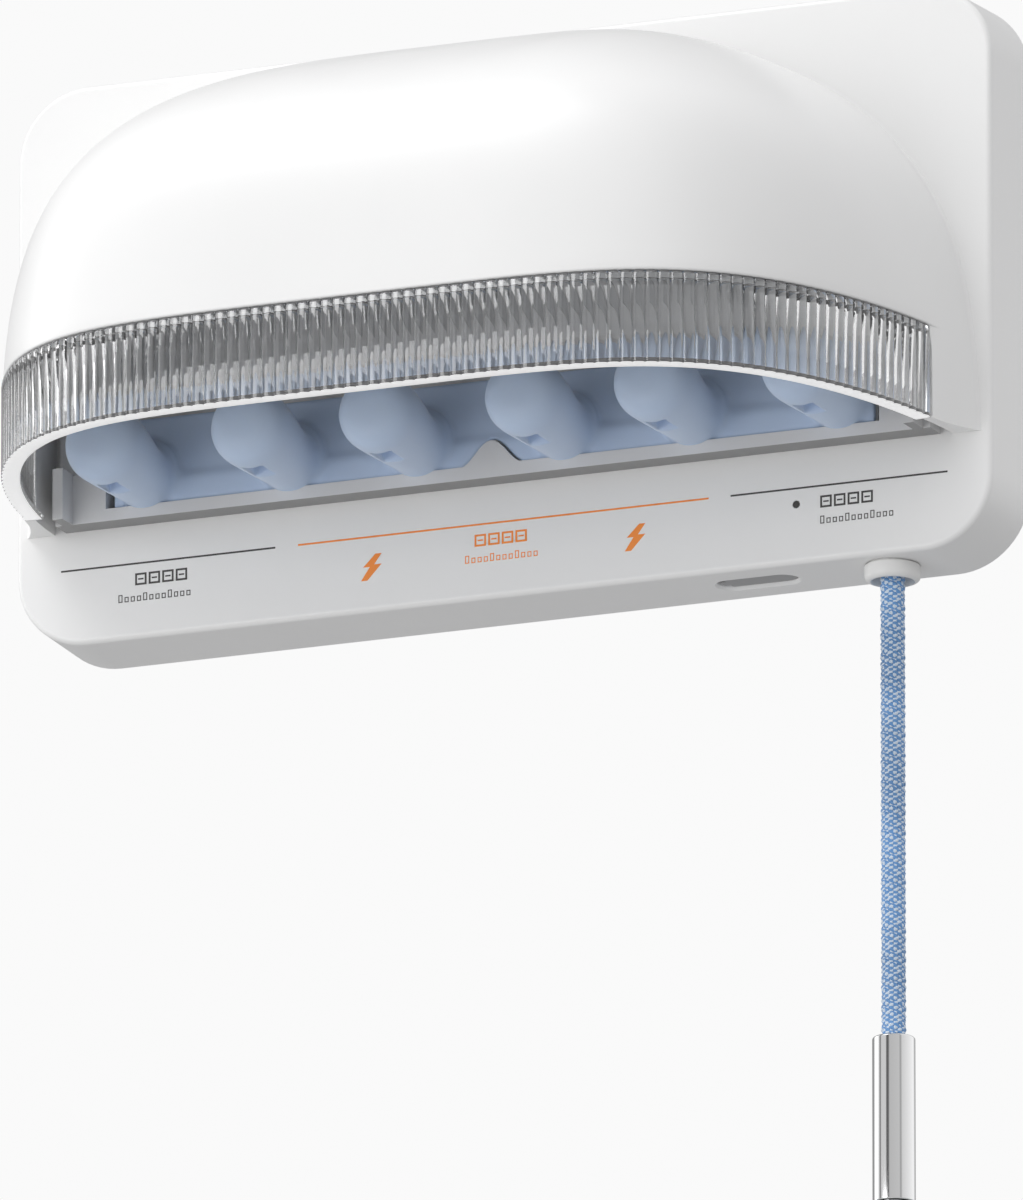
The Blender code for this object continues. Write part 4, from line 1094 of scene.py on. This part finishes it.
def frame_lines(left, bottom, width, height, line):
    """The four bars of a small open rectangle."""
    right, top = left + width, bottom + height
    middle, inside = (bottom + top) / 2, height - 2 * line
    return [
        bar(left, right, top - line / 2, line),
        bar(left, right, bottom + line / 2, line),
        bar(left, left + line, middle, inside),
        bar(right - line, right, middle, inside),
    ]


def caption(name, upper_left, lower_left, material):
    """Two rows of plain shapes that stand where a caption would."""
    shapes = []
    for k in range(4):
        left = upper_left + 4.05 * k
        shapes += frame_lines(left, -64.4, 3.4, 3.4, 0.55)
        shapes.append(bar(left + 0.9, left + 2.5, -62.7, 0.42))
    for k in range(12):
        left = lower_left + 1.85 * k
        shapes += frame_lines(left, -68.9, 1.2, 1.5 if k % 4 else 2.2, 0.26)
    mark(name, shapes, material)


caption("left_caption", -109.5, -114.5, BLACK_INK)
caption("middle_caption", -8.2, -11.0, ORANGE_INK)
caption("right_caption", 94.3, 94.3, BLACK_INK)
BOLT_Z = -66.8
BOLT = (  # from its middle
    (0.7, 0.7),
    (2.9, 0.7),
    (-1.3, -3.7),
    (-3.2, -3.7),
    (-0.6, 0.1),
    (-2.6, 0.1),
    (1.1, 3.7),
    (2.9, 3.7),
)
for side, x in (("left", -38.8), ("right", 39.6)):
    mark(f"{side}_bolt", [[(x + u, BOLT_Z + v) for u, v in BOLT]], ORANGE_INK)
shape = bmesh.new()
turned(shape, [(0.95, 0.03), (0.9, 0.06)], (LAMP_X, PLATE_FRONT, LAMP_Z), 32, "Y")
add_piece("lamp_dot", shape, BLACK_INK, "housing", 30)


# ---------------------------------------------------------------- small parts


SCREW_HEAD = 1.1
RECESS_DEPTH = 0.8


def make_screw(node):
    """A pan-head screw with a cross recess, in place of a plain CAD one."""
    low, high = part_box(node)
    centre = (low + high) / 2 / MM
    head = (high.x - low.x) / 2 / MM
    outside = high.y / MM
    length = outside - low.y / MM
    shape = bmesh.new()
    profile = [(1.0, length), (1.3, length - 0.5), (1.3, SCREW_HEAD), (head, SCREW_HEAD)]
    profile += [(head, 0.75), (head * 0.93, 0.35), (head * 0.72, 0.1), (head * 0.4, 0.0)]
    turned(shape, profile, (centre.x, outside, centre.z), 32, "Y")
    screw = add_piece(f"{node}_detailed", shape, ZINC, "housing", 40, node)
    tools = []
    for a, b in ((0.32, 1.5), (1.5, 0.32)):
        slot = bmesh.new()
        low = (centre.x - a, outside - RECESS_DEPTH, centre.z - b)
        block(slot, low, (centre.x + a, outside + 1, centre.z + b))
        tools.append(slot)
    cut(screw, tools)
    shade_again(screw, 35)


for number in range(1, 7):
    make_screw(f"cover_screw_{number}")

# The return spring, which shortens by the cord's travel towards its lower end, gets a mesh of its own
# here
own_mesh(frame["nodes"]["return_spring"])

EDGE_WIDTHS = {"holder_tray": 0.3, "rear_cover": 0.35, "wall_bracket": 0.35, "port_cover": 0.25}
for name, width in EDGE_WIDTHS.items():
    soften(frame["nodes"][name], width)
